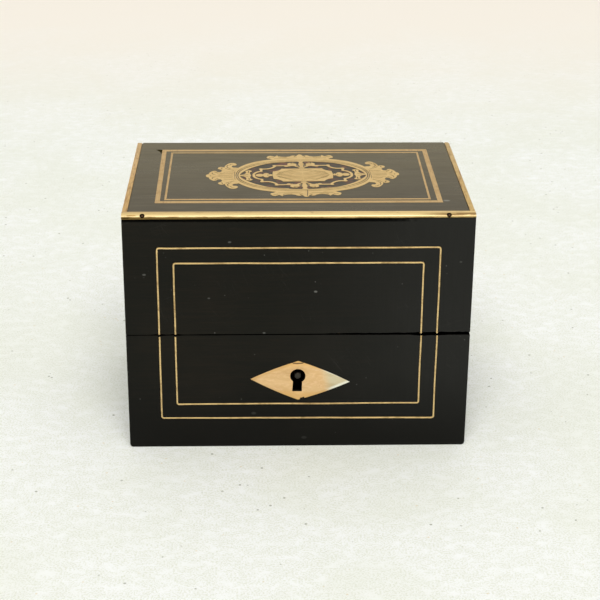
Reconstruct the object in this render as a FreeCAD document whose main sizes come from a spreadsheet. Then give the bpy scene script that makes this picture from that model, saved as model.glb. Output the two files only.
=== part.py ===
import FreeCAD, Part
import math
import os
import re
import Sketcher

# A small ebonised perfume box with brass stringing, a shell lozenge round the
# keyhole and a pierced brass cartouche let into the lid. Millimetres.
# Z is up, X runs to the right and Y away from the viewer. The origin is on
# the table, in the middle of the underside.

V = FreeCAD.Vector
doc = FreeCAD.newDocument("perfume_box")

# Driving sizes: name, millimetres or degrees, meaning
SIZES = [
    ("box_width", 140.0, "outside, left to right"),
    ("box_depth", 95.0, "outside, front to back"),
    ("box_height", 103.0, "table to the top of the lid"),
    ("seam_height", 51.0, "table to the rim of the base"),
    ("seam_gap", 0.3, "slit between base and lid"),
    ("veneer", 1.0, "ebonised sheet on the front and the top"),
    ("board", 6.0, "front, bottom and top boards"),
    ("wall", 7.0, "solid side and back boards"),
    ("foot_round", 1.5, "worn rounding of the lower corners"),
    ("inlay", 0.6, "depth of the metal let into the veneer"),
    ("string_width", 0.8, "brass wire on the front"),
    ("string_bend", 0.9, "outer bend of the wire at a corner"),
    ("string_side_margin", 13.5, "box side to the middle of the outer wire"),
    ("string_low_drop", 37.8, "rim of the base down to the middle of the outer wire"),
    ("string_high_margin", 14.15, "lid top to the middle of the outer wire"),
    ("string_pitch", 6.5, "outer wire to inner wire"),
    ("lozenge_width", 40.9, "shell lozenge, tip to tip"),
    ("lozenge_height", 17.7, "shell lozenge, tip to tip"),
    ("lozenge_thickness", 0.8, "shell let into the front veneer"),
    ("lozenge_shift", 0.8, "middle of the side tips right of the box centre"),
    ("lozenge_drop", 20.6, "rim of the base down to the lozenge centre"),
    ("lozenge_peak", 0.8, "upper and lower tips left of the middle of the side tips"),
    ("lozenge_tilt", 0.75, "left tip over the lozenge centre, right tip under it"),
    ("lozenge_swell", 0.45, "rise of a side over the straight line between two tips"),
    ("lozenge_tip_round", 1.2, "worn rounding of the upper and lower tips"),
    ("keyhole_radius", 3.15, "round part of the keyhole"),
    ("keyhole_shift", -0.15, "keyhole right of the box centre"),
    ("keyhole_drop", 18.6, "rim of the base down to the centre of the round part"),
    ("keyhole_reach", 7.0, "round centre down to the foot of the slot"),
    ("slot_neck", 3.7, "width of the slot under the round part"),
    ("slot_foot", 3.95, "width of the slot at its foot"),
    ("slot_lean", 0.3, "foot of the slot left of the round part"),
    ("band_width", 3.6, "front edge band, front to back"),
    ("side_band_width", 2.1, "side edge bands, across"),
    ("band_height", 2.3, "edge bands, top to bottom"),
    ("band_round", 1.8, "rounding of the bands' outer edge"),
    ("band_pin_radius", 0.6, "pins that hold the front band"),
    ("band_pin_length", 5.0, "pins that hold the front band"),
    ("band_pin_sink", 0.12, "pin heads below the face of the band"),
    ("left_pin_inset", 8.25, "left side of the box to its band pin"),
    ("right_pin_inset", 10.7, "right side of the box to its band pin"),
    ("top_frame_side_margin", 12.15, "lid's side to the outer frame, before its shift"),
    ("top_frame_end_margin", 12.6, "lid's front or rear to the outer frame, before its shift"),
    ("top_frame_shift", 0.25, "frames right of the middle"),
    ("top_frame_back", 1.4, "frames behind the middle"),
    ("top_strip", 2.3, "wide strip of the outer frame"),
    ("top_line", 1.25, "thin strip of the inner frame"),
    ("top_strip_gap", 1.3, "between the two frames"),
    ("cartouche_margin", 1.85, "crests to the thin strip, were both in the middle"),
    ("cartouche_shift", 2.8, "cartouche right of the middle"),
    ("cartouche_back", 1.6, "cartouche behind the middle"),
    ("cartouche_turn", 1.5, "degrees the cartouche sits askew"),
    ("strap_width", 1.1, "bracket strap inside the oval"),
    ("hinge_inset", 2.0, "back face to the hinge axis"),
    ("hinge_margin", 28.0, "box side to the middle of a hinge"),
    ("leaf_length", 18.0, "hinge leaf along the rim"),
    ("leaf_reach", 4.3, "hinge axis to the front edge of a leaf"),
    ("leaf_thickness", 1.0, "hinge leaf"),
    ("knuckle_radius", 1.5, "hinge barrel"),
    ("knuckle_gap", 0.15, "side play between knuckles"),
    ("barrel_clearance", 0.2, "opposite leaf cut back from a knuckle"),
    ("board_clearance", 0.25, "back boards cut back from a knuckle"),
    ("pin_radius", 0.7, "hinge pin"),
    ("pin_clearance", 0.05, "hinge pin in its bore"),
    ("rear_bevel", 50.0, "degrees, bevel that stops the open lid"),
    ("screw_head", 1.15, "radius of a countersunk head"),
    ("screw_sink", 0.7, "depth of a countersunk head"),
    ("screw_shank", 0.55, "radius of a shank"),
    ("screw_length", 5.0, "head to point"),
    ("hinge_screw_pitch", 10.0, "between the two screws of a leaf"),
    ("hinge_screw_back", 2.95, "hinge axis to the screws"),
    ("case_width", 30.0, "lock case along the front"),
    ("case_height", 30.0, "lock case under its selvedge"),
    ("case_depth", 4.9, "lock case into the front board"),
    ("case_plate", 0.7, "sheet of the lock case"),
    ("cap_thickness", 0.6, "cover on the wood side of the lock"),
    ("lock_fit", 0.1, "lock case in its pocket"),
    ("selvedge_length", 36.0, "lock plate in the rim"),
    ("selvedge_depth", 5.2, "lock plate in the rim"),
    ("selvedge_thickness", 1.0, "lock plate in the rim"),
    ("selvedge_screw_pitch", 32.6, "between the two lock screws"),
    ("key_pin_radius", 1.45, "pin that the key's barrel goes over"),
    ("key_pin_drop", 0.5, "keyhole centre above the key pin"),
    ("key_pin_recess", 1.2, "tip of the key pin behind the front face"),
    ("key_pin_bevel", 0.3, "bevel round the tip of the key pin"),
    ("bolt_play", 0.2, "bolt to the plates beside it"),
    ("bolt_height", 6.3, "bolt block, top to bottom"),
    ("bolt_lug_width", 4.0, "lug that the key pushes"),
    ("bolt_lug_depth", 4.8, "lug under the bolt block"),
    ("bolt_throw", 4.5, "travel of the bolt"),
    ("rail_height", 1.5, "rails under the bolt"),
    ("tongue_length", 6.2, "bolt tongue"),
    ("tongue_height", 2.6, "bolt tongue"),
    ("tongue_thickness", 1.0, "bolt tongue"),
    ("tongue_clear", 0.5, "drawn tongue short of the staple"),
    ("staple_offset", 9.5, "key pin to the staple"),
    ("staple_length", 7.0, "staple below the lid's rim"),
    ("staple_width", 2.8, "staple, front to back"),
    ("staple_thickness", 1.6, "staple along the front"),
    ("staple_eye_rise", 2.5, "foot of the staple up to the middle of its eye"),
    ("staple_eye_play", 0.15, "eye of the staple round the tongue"),
    ("staple_slot_play", 0.4, "lock plate round the staple"),
    ("link_length", 18.0, "link plate along the lid's rim"),
    ("link_depth", 4.8, "link plate, front to back"),
    ("link_thickness", 1.0, "link plate"),
    ("link_screw_pitch", 13.4, "between the two link plate screws"),
    ("lining", 1.5, "velvet on card"),
    ("lining_drop", 0.5, "edge of a lining short of the rim"),
    ("divider", 3.0, "velvet on card between the cells"),
    ("divider_height", 36.5, "above the lined floor"),
    ("pad_thickness", 5.0, "silk pad under the lid"),
    ("pad_fit", 0.4, "pad clear of the lining"),
    ("cell_play_across", 3.0, "bottle in its cell, left to right"),
    ("cell_play_along", 1.5, "bottle in its cell, front to back"),
    ("stopper_headroom", 6.5, "top of a knob to the silk pad"),
    ("glass_wall", 4.5, "side of a bottle"),
    ("glass_foot", 5.0, "under the hollow and over it"),
    ("bottle_corner", 4.0, "cut corner of a bottle"),
    ("shoulder_cut", 6.0, "cut slope round the shoulder"),
    ("hollow_corner", 3.0, "corner of the hollow"),
    ("hollow_slope", 4.5, "slope round the top of the hollow"),
    ("neck_height", 10.0, "shoulder to the top of the lip"),
    ("neck_radius", 6.6, "outside of a bottle's neck"),
    ("bore_radius", 4.2, "bore of a bottle's neck"),
    ("lip_radius", 9.5, "flat lip of a bottle"),
    ("lip_thickness", 3.0, "flat lip of a bottle"),
    ("stopper_fit", 0.05, "ground plug in its bore"),
    ("plug_length", 9.0, "plug of a stopper"),
    ("plug_taper", 0.5, "plug radius lost over its length"),
    ("stopper_collar", 6.4, "radius of the stopper's collar"),
    ("collar_height", 1.4, "thickness of the stopper's collar"),
    ("stopper_waist", 3.8, "radius between collar and knob"),
    ("knob_radius", 8.0, "eight-sided knob, centre to corner"),
    ("knob_height", 17.0, "lip to the top of a knob"),
    ("knob_foot", 4.5, "lip to the foot of a knob"),
    ("knob_belt", 3.0, "upright belt round a knob"),
    ("knob_table", 4.2, "flat top of a knob, centre to corner"),
    ("overrun", 1.0, "how far a cut or a root runs past the face it must pass"),
]

# Places worked out from the driving sizes
PLACES = [
    ("half_width", "box_width / 2"),
    ("hinge_x", "half_width - hinge_margin"),
    ("front", "-box_depth / 2"),
    ("rear", "box_depth / 2"),
    ("carcass_front", "front + veneer"),
    ("inner_front", "carcass_front + board"),
    ("inner_rear", "rear - wall"),
    ("inner_side", "half_width - wall"),
    ("lid_bottom", "seam_height + seam_gap"),
    ("carcass_top", "box_height - veneer"),
    ("ceiling", "carcass_top - board"),
    ("band_bottom", "box_height - band_height"),
    ("string_left", "string_side_margin - half_width"),
    ("string_right", "half_width - string_side_margin"),
    ("string_low", "seam_height - string_low_drop"),
    ("string_high", "box_height - string_high_margin"),
    ("hinge_y", "rear - hinge_inset"),
    ("hinge_z", "seam_height + seam_gap / 2"),
    ("bevel_run", "hinge_inset + overrun"),
    ("bevel_fall", "bevel_run * tan(rear_bevel)"),
    ("lock_back", "inner_front - case_plate"),
    ("lock_front", "inner_front - case_depth"),
    ("case_open", "lock_front + cap_thickness"),
    ("case_top", "seam_height - selvedge_thickness"),
    ("case_low", "case_top - case_height"),
    ("keyhole_level", "seam_height - keyhole_drop"),
    ("lozenge_level", "seam_height - lozenge_drop"),
    ("lozenge_side", "sqrt(lozenge_width ^ 2 + lozenge_height ^ 2) / 2"),
    ("lozenge_bow", "lozenge_side ^ 2 / (8 * lozenge_swell) + lozenge_swell / 2"),
    ("frame_opening", "rear - top_frame_end_margin - top_strip - top_strip_gap - top_line"),
    ("cartouche_breadth", "2 * (frame_opening - cartouche_margin)"),
    ("key_pin_level", "keyhole_level - key_pin_drop"),
    ("bolt_middle", "(case_open + lock_back) / 2"),
    ("bolt_half", "(lock_back - case_open) / 2 - bolt_play"),
    ("bolt_top", "case_top - bolt_play"),
    ("bolt_low", "bolt_top - bolt_height"),
    ("staple_x", "keyhole_shift + staple_offset"),
    ("staple_low", "lid_bottom - staple_length"),
    ("tongue_end", "staple_x - staple_thickness / 2 - tongue_clear"),
    ("tongue_start", "tongue_end - tongue_length"),
    ("tongue_level", "staple_low + staple_eye_rise"),
    ("floor_top", "board + lining"),
    ("lined_side", "inner_side - lining"),
    ("lined_front", "inner_front + lining"),
    ("lined_rear", "inner_rear - lining"),
    ("cell_pitch", "(2 * lined_side + divider) / 3"),
    ("row_pitch", "(lined_rear - lined_front + divider) / 2"),
    ("cells_middle", "(lined_front + lined_rear) / 2"),
    ("bottle_half_x", "(cell_pitch - divider - cell_play_across) / 2"),
    ("bottle_half_y", "(row_pitch - divider - cell_play_along) / 2"),
    ("knob_top", "ceiling - pad_thickness - stopper_headroom"),
    ("bottle_height", "knob_top - knob_height - floor_top"),
    ("bottle_body", "bottle_height - neck_height"),
]

sheet = doc.addObject("Spreadsheet::Sheet", "Sizes")
places = doc.addObject("App::VarSet", "Places")
OWNER = {}


def fill_the_sheet():
    """Write the driving sizes and the places that follow from them."""
    for row, (name, value, meaning) in enumerate(SIZES, start=1):
        sheet.set(f"A{row}", meaning)
        sheet.set(f"B{row}", str(value))
        sheet.setAlias(f"B{row}", name)
        OWNER[name] = "Sizes."
    for name, rule in PLACES:
        places.addProperty("App::PropertyFloat", name, "Places")
        places.setExpression(name, formula(rule))
        OWNER[name] = "Places."
    doc.recompute()


def formula(rule):
    """Point each name of a rule at the cell or the place that holds it."""
    return re.sub(r"[a-z_]+", lambda word: OWNER.get(word[0], "") + word[0], rule)


def worth(rule):
    """What a rule comes to now."""
    return float(places.evalExpression(formula(rule)))


def bind(thing, setting, rule):
    thing.setExpression(setting, formula(rule))


def move_to(thing, x, y, z):
    for axis, rule in (("x", x), ("y", y), ("z", z)):
        bind(thing, f"Placement.Base.{axis}", rule)


# Solids from rules


def block(label, x, y, z):
    """A block given by its two ends along each axis."""
    solid = doc.addObject("Part::Box", label)
    for setting, (low, high) in (("Length", x), ("Width", y), ("Height", z)):
        bind(solid, setting, f"({high}) - ({low})")
    move_to(solid, x[0], y[0], z[0])
    return solid


def rod(label, axis, radius, centre, low, high):
    """A cylinder along one axis; centre holds the other two coordinates."""
    solid = doc.addObject("Part::Cylinder", label)
    turns = {"x": (V(0, 1, 0), 90), "y": (V(1, 0, 0), -90), "z": (V(0, 0, 1), 0)}
    solid.Placement.Rotation = FreeCAD.Rotation(*turns[axis])
    bind(solid, "Radius", radius)
    bind(solid, "Height", f"({high}) - ({low})")
    spots = {"x": (low, *centre), "y": (centre[0], low, centre[1]), "z": (*centre, low)}
    move_to(solid, *spots[axis])
    return solid


def join(label, *pieces):
    """One piece from several that overlap or touch."""
    whole = doc.addObject("Part::MultiFuse", label)
    whole.Shapes = list(pieces)
    return whole


def group(label, *pieces):
    """Like pieces that share a node and stay separate solids."""
    whole = doc.addObject("Part::Compound", label)
    whole.Links = list(pieces)
    return whole


def cut(label, base, *tools):
    """Take the tools away from the base."""
    rest = doc.addObject("Part::Cut", label)
    rest.Base = base
    rest.Tool = tools[0] if len(tools) == 1 else group(label + "_tools", *tools)
    return rest


def sketch_in(body, plane, lift):
    """An empty sketch on one of the body's own planes, lifted along its normal."""
    sketch = body.newObject("Sketcher::SketchObject", body.Label + "_sketch")
    support = next(face for face in body.Origin.OriginFeatures if face.Role == plane)
    sketch.AttachmentSupport = [(support, "")]
    sketch.MapMode = "FlatFace"
    bind(sketch, "AttachmentOffset.Base.z", lift)
    return sketch


def swollen_side(start, end, radius):
    """An arc between two corners that bulges to the right of the way from start to end."""
    half = (end - start) * 0.5
    outward = V(half.y, -half.x, 0).normalize()
    rise = radius - math.sqrt(radius ** 2 - half.Length ** 2)
    return Part.Arc(start, start + half + outward * rise, end)


def draw_polygon(sketch, corners, bow=None):
    """A closed outline whose corners are held by rules from the origin; a bow swells its sides."""
    count = len(corners)
    start = [V(worth(across), worth(up), 0) for across, up in corners]
    for i in range(count):
        ends = (start[i], start[(i + 1) % count])
        sketch.addGeometry(swollen_side(*ends, worth(bow)) if bow else Part.LineSegment(*ends), False)
    for i in range(count):
        sketch.addConstraint(Sketcher.Constraint("Coincident", i, 2, (i + 1) % count, 1))
    for i, (across, up) in enumerate(corners):
        for kind, rule, place in (("DistanceX", across, start[i].x), ("DistanceY", up, start[i].y)):
            held = sketch.addConstraint(Sketcher.Constraint(kind, -1, 1, i, 1, place))
            bind(sketch, f"Constraints[{held}]", rule)
    if bow:
        for i in range(count):
            held = sketch.addConstraint(Sketcher.Constraint("Radius", i, 1))
            bind(sketch, f"Constraints[{held}]", bow)


def extrude(label, plane, corners, low, high, bow=None):
    """A prism of a polygon, between two places along the plane's axis."""
    body = doc.addObject("PartDesign::Body", label)
    lift = f"-({high})" if plane == "XZ_Plane" else low
    sketch = sketch_in(body, plane, lift)
    draw_polygon(sketch, corners, bow)
    pad = body.newObject("PartDesign::Pad", label + "_pad")
    pad.Profile = sketch
    bind(pad, "Length", f"({high}) - ({low})")
    body.Tip = pad
    return body


def turn(body, name, corners):
    """Add a polygon of radius and height to the body, turned round its Z axis."""
    sketch = sketch_in(body, "XZ_Plane", "0")
    draw_polygon(sketch, corners)
    feature = body.newObject("PartDesign::Revolution", f"{body.Label}_{name}")
    feature.Profile = sketch
    feature.ReferenceAxis = (sketch, ["V_Axis"])
    feature.Angle = 360
    body.Tip = feature


def turned(label, corners):
    """A turned piece: the polygon of radius and height goes round the Z axis."""
    body = doc.addObject("PartDesign::Body", label)
    turn(body, "turn", corners)
    return body


def rectangle(x, y):
    return [(x[0], y[0]), (x[1], y[0]), (x[1], y[1]), (x[0], y[1])]


def dress_edges(body, kind, setting, rule, wanted):
    """Fillet or chamfer the edges whose midpoint and direction are wanted."""
    doc.recompute()
    base = body.Tip
    names = []
    for number, edge in enumerate(base.Shape.Edges, start=1):
        ends = [vertex.Point for vertex in edge.Vertexes]
        if len(ends) == 2 and wanted((ends[0] + ends[1]) * 0.5, (ends[1] - ends[0]).normalize()):
            names.append(f"Edge{number}")
    dressed = body.newObject(kind, f"{body.Label}_{setting.lower()}")
    dressed.Base = (base, names)
    bind(dressed, setting, rule)
    body.Tip = dressed
    return body


def round_edges(body, rule, wanted):
    return dress_edges(body, "PartDesign::Fillet", "Radius", rule, wanted)


def along(direction, axis):
    return abs(direction.dot(axis)) > 0.999


# Boards and veneers


def foot_corner(middle, direction):
    """The edges along Y at the lower outer corners of the box."""
    outside = abs(abs(middle.x) - places.half_width) < 0.01
    return along(direction, V(0, 1, 0)) and outside and middle.z < 0.01


def foot_board(label, x, y):
    """An upright board of the base, rounded at its lower outer corners."""
    body = extrude(label, "XZ_Plane", rectangle(x, ("0", "seam_height")), *y)
    return round_edges(body, "foot_round", foot_corner)


FULL_WIDTH = ("-half_width", "half_width")
SIDES = {"left": ("-half_width", "-inner_side"), "right": ("inner_side", "half_width")}
LID_WALL = ("lid_bottom", "ceiling")


def base_boards(keyhole, pocket, selvedge, hinge_cuts, screws):
    """Front, back, sides and bottom of the base."""
    front_blank = foot_board("base_front_blank", FULL_WIDTH, ("carcass_front", "inner_front"))
    cut("base_front_board", front_blank, keyhole, pocket, selvedge, screws)
    back_blank = foot_board("base_back_blank", FULL_WIDTH, ("inner_rear", "rear"))
    bevel = rear_bevel("base_bevel", "seam_height", "seam_height - bevel_fall")
    cut("base_back_board", back_blank, bevel, *hinge_cuts, screws)
    for side, x in SIDES.items():
        foot_board(f"base_{side}_board", x, ("inner_front", "inner_rear"))
    block("base_bottom_board", ("-inner_side", "inner_side"), ("inner_front", "inner_rear"), ("0", "board"))


def lid_boards(link_cut, hinge_cuts, screws, rebates, band_pins):
    """Front, back, sides and top of the lid."""
    front_blank = block("lid_front_blank", FULL_WIDTH, ("carcass_front", "inner_front"), LID_WALL)
    cut("lid_front_board", front_blank, link_cut, screws)
    back_blank = block("lid_back_blank", FULL_WIDTH, ("inner_rear", "rear"), LID_WALL)
    bevel = rear_bevel("lid_bevel", "lid_bottom", "lid_bottom + bevel_fall")
    cut("lid_back_board", back_blank, bevel, *hinge_cuts, screws)
    for side, x in SIDES.items():
        block(f"lid_{side}_board", x, ("inner_front", "inner_rear"), LID_WALL)
    top_blank = block("lid_top_blank", FULL_WIDTH, ("carcass_front", "rear"), ("ceiling", "carcass_top"))
    cut("lid_top_board", top_blank, *rebates, band_pins)


def rear_bevel(label, edge, far_edge):
    """The wedge planed off a rear edge, outwards from the hinge axis."""
    corners = [("hinge_y", edge), ("hinge_y + bevel_run", edge), ("hinge_y + bevel_run", far_edge)]
    return extrude(label, "YZ_Plane", corners, "-half_width - overrun", "half_width + overrun")


# Front: brass strings and the shell lozenge


def string_wire(label, inset, end, level, outward):
    """Half of a bent brass frame, from the seam to its level run and back."""
    half = "string_width / 2"
    left, right = f"string_left + {inset}", f"string_right - {inset}"
    outer, inner = f"{level} {outward} {half}", f"{level} - ({outward} {half})"
    corners = [
        (f"{left} - {half}", end),
        (f"{left} - {half}", outer),
        (f"{right} + {half}", outer),
        (f"{right} + {half}", end),
        (f"{right} - {half}", end),
        (f"{right} - {half}", inner),
        (f"{left} + {half}", inner),
        (f"{left} + {half}", end),
    ]
    body = extrude(label, "XZ_Plane", corners, "front", "front + inlay")
    doc.recompute()
    box = body.Shape.BoundBox
    turn = box.ZMax if outward == "+" else box.ZMin

    def bend(middle, direction):
        outside = min(abs(middle.x - box.XMin), abs(middle.x - box.XMax)) < 0.01
        return along(direction, V(0, 1, 0)) and outside and abs(middle.z - turn) < 0.01

    return round_edges(body, "string_bend", bend)


def front_strings():
    """Two frames, each cut through at the seam."""
    rings = {"outer": "0", "inner": "string_pitch"}
    base, lid = [], []
    for name, inset in rings.items():
        low, high = f"string_low + {inset}", f"string_high - {inset}"
        base.append(string_wire(f"base_string_{name}", inset, "seam_height", low, "-"))
        lid.append(string_wire(f"lid_string_{name}", inset, "lid_bottom", high, "+"))
    return base, lid


def keyhole_cutter():
    """A round hole over a slot that widens to its foot, through wood and lock cap."""
    reach = ("front - overrun", "case_open + overrun")
    centre = ("keyhole_shift", "keyhole_level")
    round_part = rod("keyhole_round", "y", "keyhole_radius", centre, *reach)
    corners = [
        ("keyhole_shift - slot_neck / 2", "keyhole_level"),
        ("keyhole_shift - slot_lean - slot_foot / 2", "keyhole_level - keyhole_reach"),
        ("keyhole_shift - slot_lean + slot_foot / 2", "keyhole_level - keyhole_reach"),
        ("keyhole_shift + slot_neck / 2", "keyhole_level"),
    ]
    slot = extrude("keyhole_slot", "XZ_Plane", corners, *reach)
    return join("keyhole", round_part, slot)


def lozenge_blank():
    """The lozenge before its keyhole is sawn: swollen sides, blunt above and below."""
    corners = [
        ("lozenge_shift + lozenge_width / 2", "lozenge_level - lozenge_tilt"),
        ("lozenge_shift - lozenge_peak", "lozenge_level + lozenge_height / 2"),
        ("lozenge_shift - lozenge_width / 2", "lozenge_level + lozenge_tilt"),
        ("lozenge_shift - lozenge_peak", "lozenge_level - lozenge_height / 2"),
    ]
    depth = ("front", "front + lozenge_thickness")
    body = extrude("lozenge_blank", "XZ_Plane", corners, *depth, "lozenge_bow")
    peak_x = size("lozenge_shift") - size("lozenge_peak")

    def upper_or_lower_tip(middle, direction):
        return along(direction, V(0, 1, 0)) and abs(middle.x - peak_x) < 0.01

    return round_edges(body, "lozenge_tip_round", upper_or_lower_tip)


def front_veneers(base_wires, lid_wires, lozenge, keyhole):
    """The two front sheets, let in for the wires and the lozenge."""
    blank = foot_board("base_veneer_blank", FULL_WIDTH, ("front", "carcass_front"))
    cut("base_front_veneer", blank, *base_wires, lozenge, keyhole)
    level = ("lid_bottom", "band_bottom")
    lid_blank = block("lid_veneer_blank", FULL_WIDTH, ("front", "carcass_front"), level)
    cut("lid_front_veneer", lid_blank, *lid_wires)
    cut("escutcheon", lozenge, keyhole)


# Lid top: edge bands, strips and cartouche


def edge_band(label, plane, corners, low, high, corner):
    """A brass band; the long edge through the corner point is rounded over."""
    body = extrude(label, plane, corners, low, high)
    return round_edges(body, "band_round", lambda middle, direction: near_line(middle, direction, corner))


def near_line(middle, direction, point):
    """Whether the line of an edge passes through the point."""
    away = point - middle
    return (away - direction * away.dot(direction)).Length < 0.01


def edge_bands():
    """One band along the front edge and one along each side, and their rebates."""
    level = ("band_bottom", "box_height")
    across = ("front", "front + band_width")
    behind = ("front + band_width", "rear")
    sides = {
        "left": ("-half_width", "side_band_width - half_width"),
        "right": ("half_width - side_band_width", "half_width"),
    }
    rebates = [block("front_rebate", FULL_WIDTH, across, level)]
    height = size("box_height")
    corner = V(0, places.front, height)
    front_band = edge_band("front_band", "YZ_Plane", rectangle(across, level), *FULL_WIDTH, corner)
    for side, x in sides.items():
        rebates.append(block(f"{side}_rebate", x, behind, level))
        edge = places.half_width * (-1 if side == "left" else 1)
        edge_band(f"edge_band_{side}", "XZ_Plane", rectangle(x, level), *behind, V(edge, 0, height))
    return front_band, rebates


def band_pins():
    """Two pins driven at 45 degrees through the rounding of the front band, and their holes."""
    pins, holes = [], []
    for side, x in (("left", "left_pin_inset - half_width"), ("right", "half_width - right_pin_inset")):
        pins.append(slanting_rod(f"band_pin_{side}", x, "band_round - band_pin_sink"))
        holes.append(slanting_rod(f"band_hole_{side}", x, "band_round + overrun"))
    return group("edge_band_pins", *pins), holes


def slanting_rod(label, x, start):
    """A rod that runs down and back from a distance outside the centre of the rounding."""
    solid = doc.addObject("Part::Cylinder", label)
    solid.Placement.Rotation = FreeCAD.Rotation(V(1, 0, 0), -135)
    bind(solid, "Radius", "band_pin_radius")
    bind(solid, "Height", "band_pin_length")
    away = f"({start}) * sqrt(0.5)"
    move_to(solid, x, f"front + band_round - {away}", f"box_height - band_round + {away}")
    return solid


def top_frames():
    """A wide outer frame and a thin inner frame let into the lid."""
    frames = []
    rings = {"outer": ("0", "top_strip"), "inner": ("top_strip + top_strip_gap", "top_line")}
    for name, (inset, width) in rings.items():
        solids = []
        for kind, margin in (("blank", inset), ("opening", f"{inset} + {width}")):
            half_x = f"(half_width - top_frame_side_margin - ({margin}))"
            half_y = f"(rear - top_frame_end_margin - ({margin}))"
            x = (f"top_frame_shift - {half_x}", f"top_frame_shift + {half_x}")
            y = (f"top_frame_back - {half_y}", f"top_frame_back + {half_y}")
            solids.append(block(f"top_string_{name}_{kind}", x, y, ("box_height - inlay", "box_height")))
        frames.append(cut(f"top_string_{name}", *solids))
    return frames


# The cartouche is drawn in quarters from its own centre, on a pattern 57 from
# crest to crest, and is enlarged from the pattern as a whole. A run of arcs
# is written as start, middle, end, middle, end and so on.
PATTERN_BREADTH = 57.0

# Half of a leaf end, from its tip on the long axis round to the oval
LEAF_END = [
    (41.3, 0.0), (41.1, 1.3), (40.1, 2.2),
    (39.5, 4.7), (38.1, 6.6), (37.2, 6.5), (36.7, 5.6),
    (35.6, 4.8), (34.7, 5.9), (34.6, 7.4), (35.3, 8.5),
    (36.2, 9.9), (35.5, 11.5), (34.5, 11.8), (33.4, 10.7),
    (32.9, 13.6), (31.6, 16.2), (29.6, 17.2), (28.2, 15.9),
    (28.0, 14.6), (28.8, 13.6), (29.8, 13.4), (30.1, 12.3),
    (29.8, 11.2), (28.9, 10.8), (28.2, 10.7), (27.5, 10.3),
]
# Outer edge of the oval between leaf end and crest
OVAL_SHOULDER = [(27.5, 10.3), (24.4, 14.6), (20.0, 18.5), (15.6, 20.7), (12.4, 21.7)]
# Half of a crest, from the oval to its middle tip on the short axis
CREST = [
    (12.4, 21.7), (13.0, 22.4), (13.4, 23.0),
    (14.6, 23.9), (14.4, 25.2), (13.9, 26.4), (12.9, 26.9),
    (11.9, 26.3), (11.2, 25.6), (10.5, 26.3), (9.9, 27.5),
    (9.4, 26.2), (8.6, 25.6), (6.4, 25.2), (4.2, 25.9),
    (3.3, 26.9), (2.3, 26.9), (1.9, 26.3), (1.2, 26.6),
    (0.8, 27.9), (0.0, 28.5),
]
# Inner edge of the oval, from the long axis to the short one
OVAL_OPENING = [(26.9, 0.0), (24.4, 6.4), (21.8, 10.0), (18.4, 13.2), (13.9, 16.1), (8.0, 17.5), (0.0, 17.9)]
# Half of a palmette, between the oval and the medallion
PALMETTE = [
    (0.9, 18.6), (0.8, 17.2), (0.9, 15.8), (1.5, 15.1), (2.3, 15.0),
    (3.0, 16.3), (4.7, 16.6), (5.8, 15.6), (5.7, 13.4),
    (5.9, 12.2), (4.9, 11.8), (3.6, 12.2), (2.6, 11.2),
    (1.4, 10.2), (1.2, 8.2),
]
# Half of the trefoil between the strap and the end of the oval
TREFOIL = [
    (27.6, 0.9), (26.4, 0.8), (25.2, 1.5), (24.3, 3.0), (24.2, 4.6),
    (24.1, 6.2), (22.9, 6.8), (21.9, 6.4), (22.3, 4.6),
    (22.5, 2.3), (22.0, 0.0),
]
# Quarter of the medallion: a plate with hollow corners
MEDALLION_CORNER = [(8.8, 8.6), (10.2, 6.2), (12.6, 5.0)]
MEDALLION_END = 13.0
# Beads in a row on the long axis: centre, half length, half breadth
BEADS = [(13.6, 0.55, 1.3), (15.6, 1.5, 2.9), (18.4, 1.7, 1.9)]
# Bracket strap, middle line: straight runs, a hollow corner and a round end
STRAP_TOP = 12.7
STRAP_HOLLOW = [(11.4, 12.7), (12.8, 9.9), (15.3, 8.4)]
STRAP_SHOULDER = (17.6, 8.4)
STRAP_END = [(17.6, 5.4), (20.1, 3.4), (20.9, 0.0)]
# Knots on the strap: centre and radius
KNOTS = [((6.5, 12.2), 1.0), ((11.6, 12.8), 0.9), ((17.6, 8.4), 0.9)]


def pattern_scale():
    return places.cartouche_breadth / PATTERN_BREADTH


def point(spot):
    """A spot of the pattern at its real size."""
    return V(spot[0], spot[1], 0) * pattern_scale()


def arcs(spots):
    """Arcs through start, middle, end, middle, end and so on."""
    spots = [point(spot) for spot in spots]
    return [Part.Arc(*spots[i : i + 3]).toShape() for i in range(0, len(spots) - 2, 2)]


def curve(spots):
    """A smooth edge through the spots."""
    spline = Part.BSplineCurve()
    spline.interpolate([point(spot) for spot in spots])
    return spline.toShape()


def line(start, end):
    return Part.LineSegment(point(start), point(end)).toShape()


def mirrored(shapes, axis):
    return [shape.mirror(V(0, 0, 0), axis) for shape in shapes]


def slab(edges):
    """A closed outline, its edges in any order, given the thickness of the inlay."""
    return thicken(Part.Wire(Part.__sortEdges__(edges)))


def thicken(outline):
    return Part.Face(outline).extrude(V(0, 0, size("inlay")))


def four_fold(edges):
    """All four quarters from one that runs from the X axis to the Y axis."""
    half = edges + mirrored(edges, V(1, 0, 0))
    return half + mirrored(half, V(0, 1, 0))


def oval_opening():
    """The oval inside the rim, as one smooth closed curve."""
    quarter = [point(spot) for spot in OVAL_OPENING]
    second = [V(-spot.x, spot.y, 0) for spot in reversed(quarter[:-1])]
    lower = [V(spot.x, -spot.y, 0) for spot in reversed((quarter + second)[1:-1])]
    spline = Part.BSplineCurve()
    spline.interpolate(quarter + second + lower, PeriodicFlag=True)
    return thicken(Part.Wire(spline.toShape()))


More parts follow.
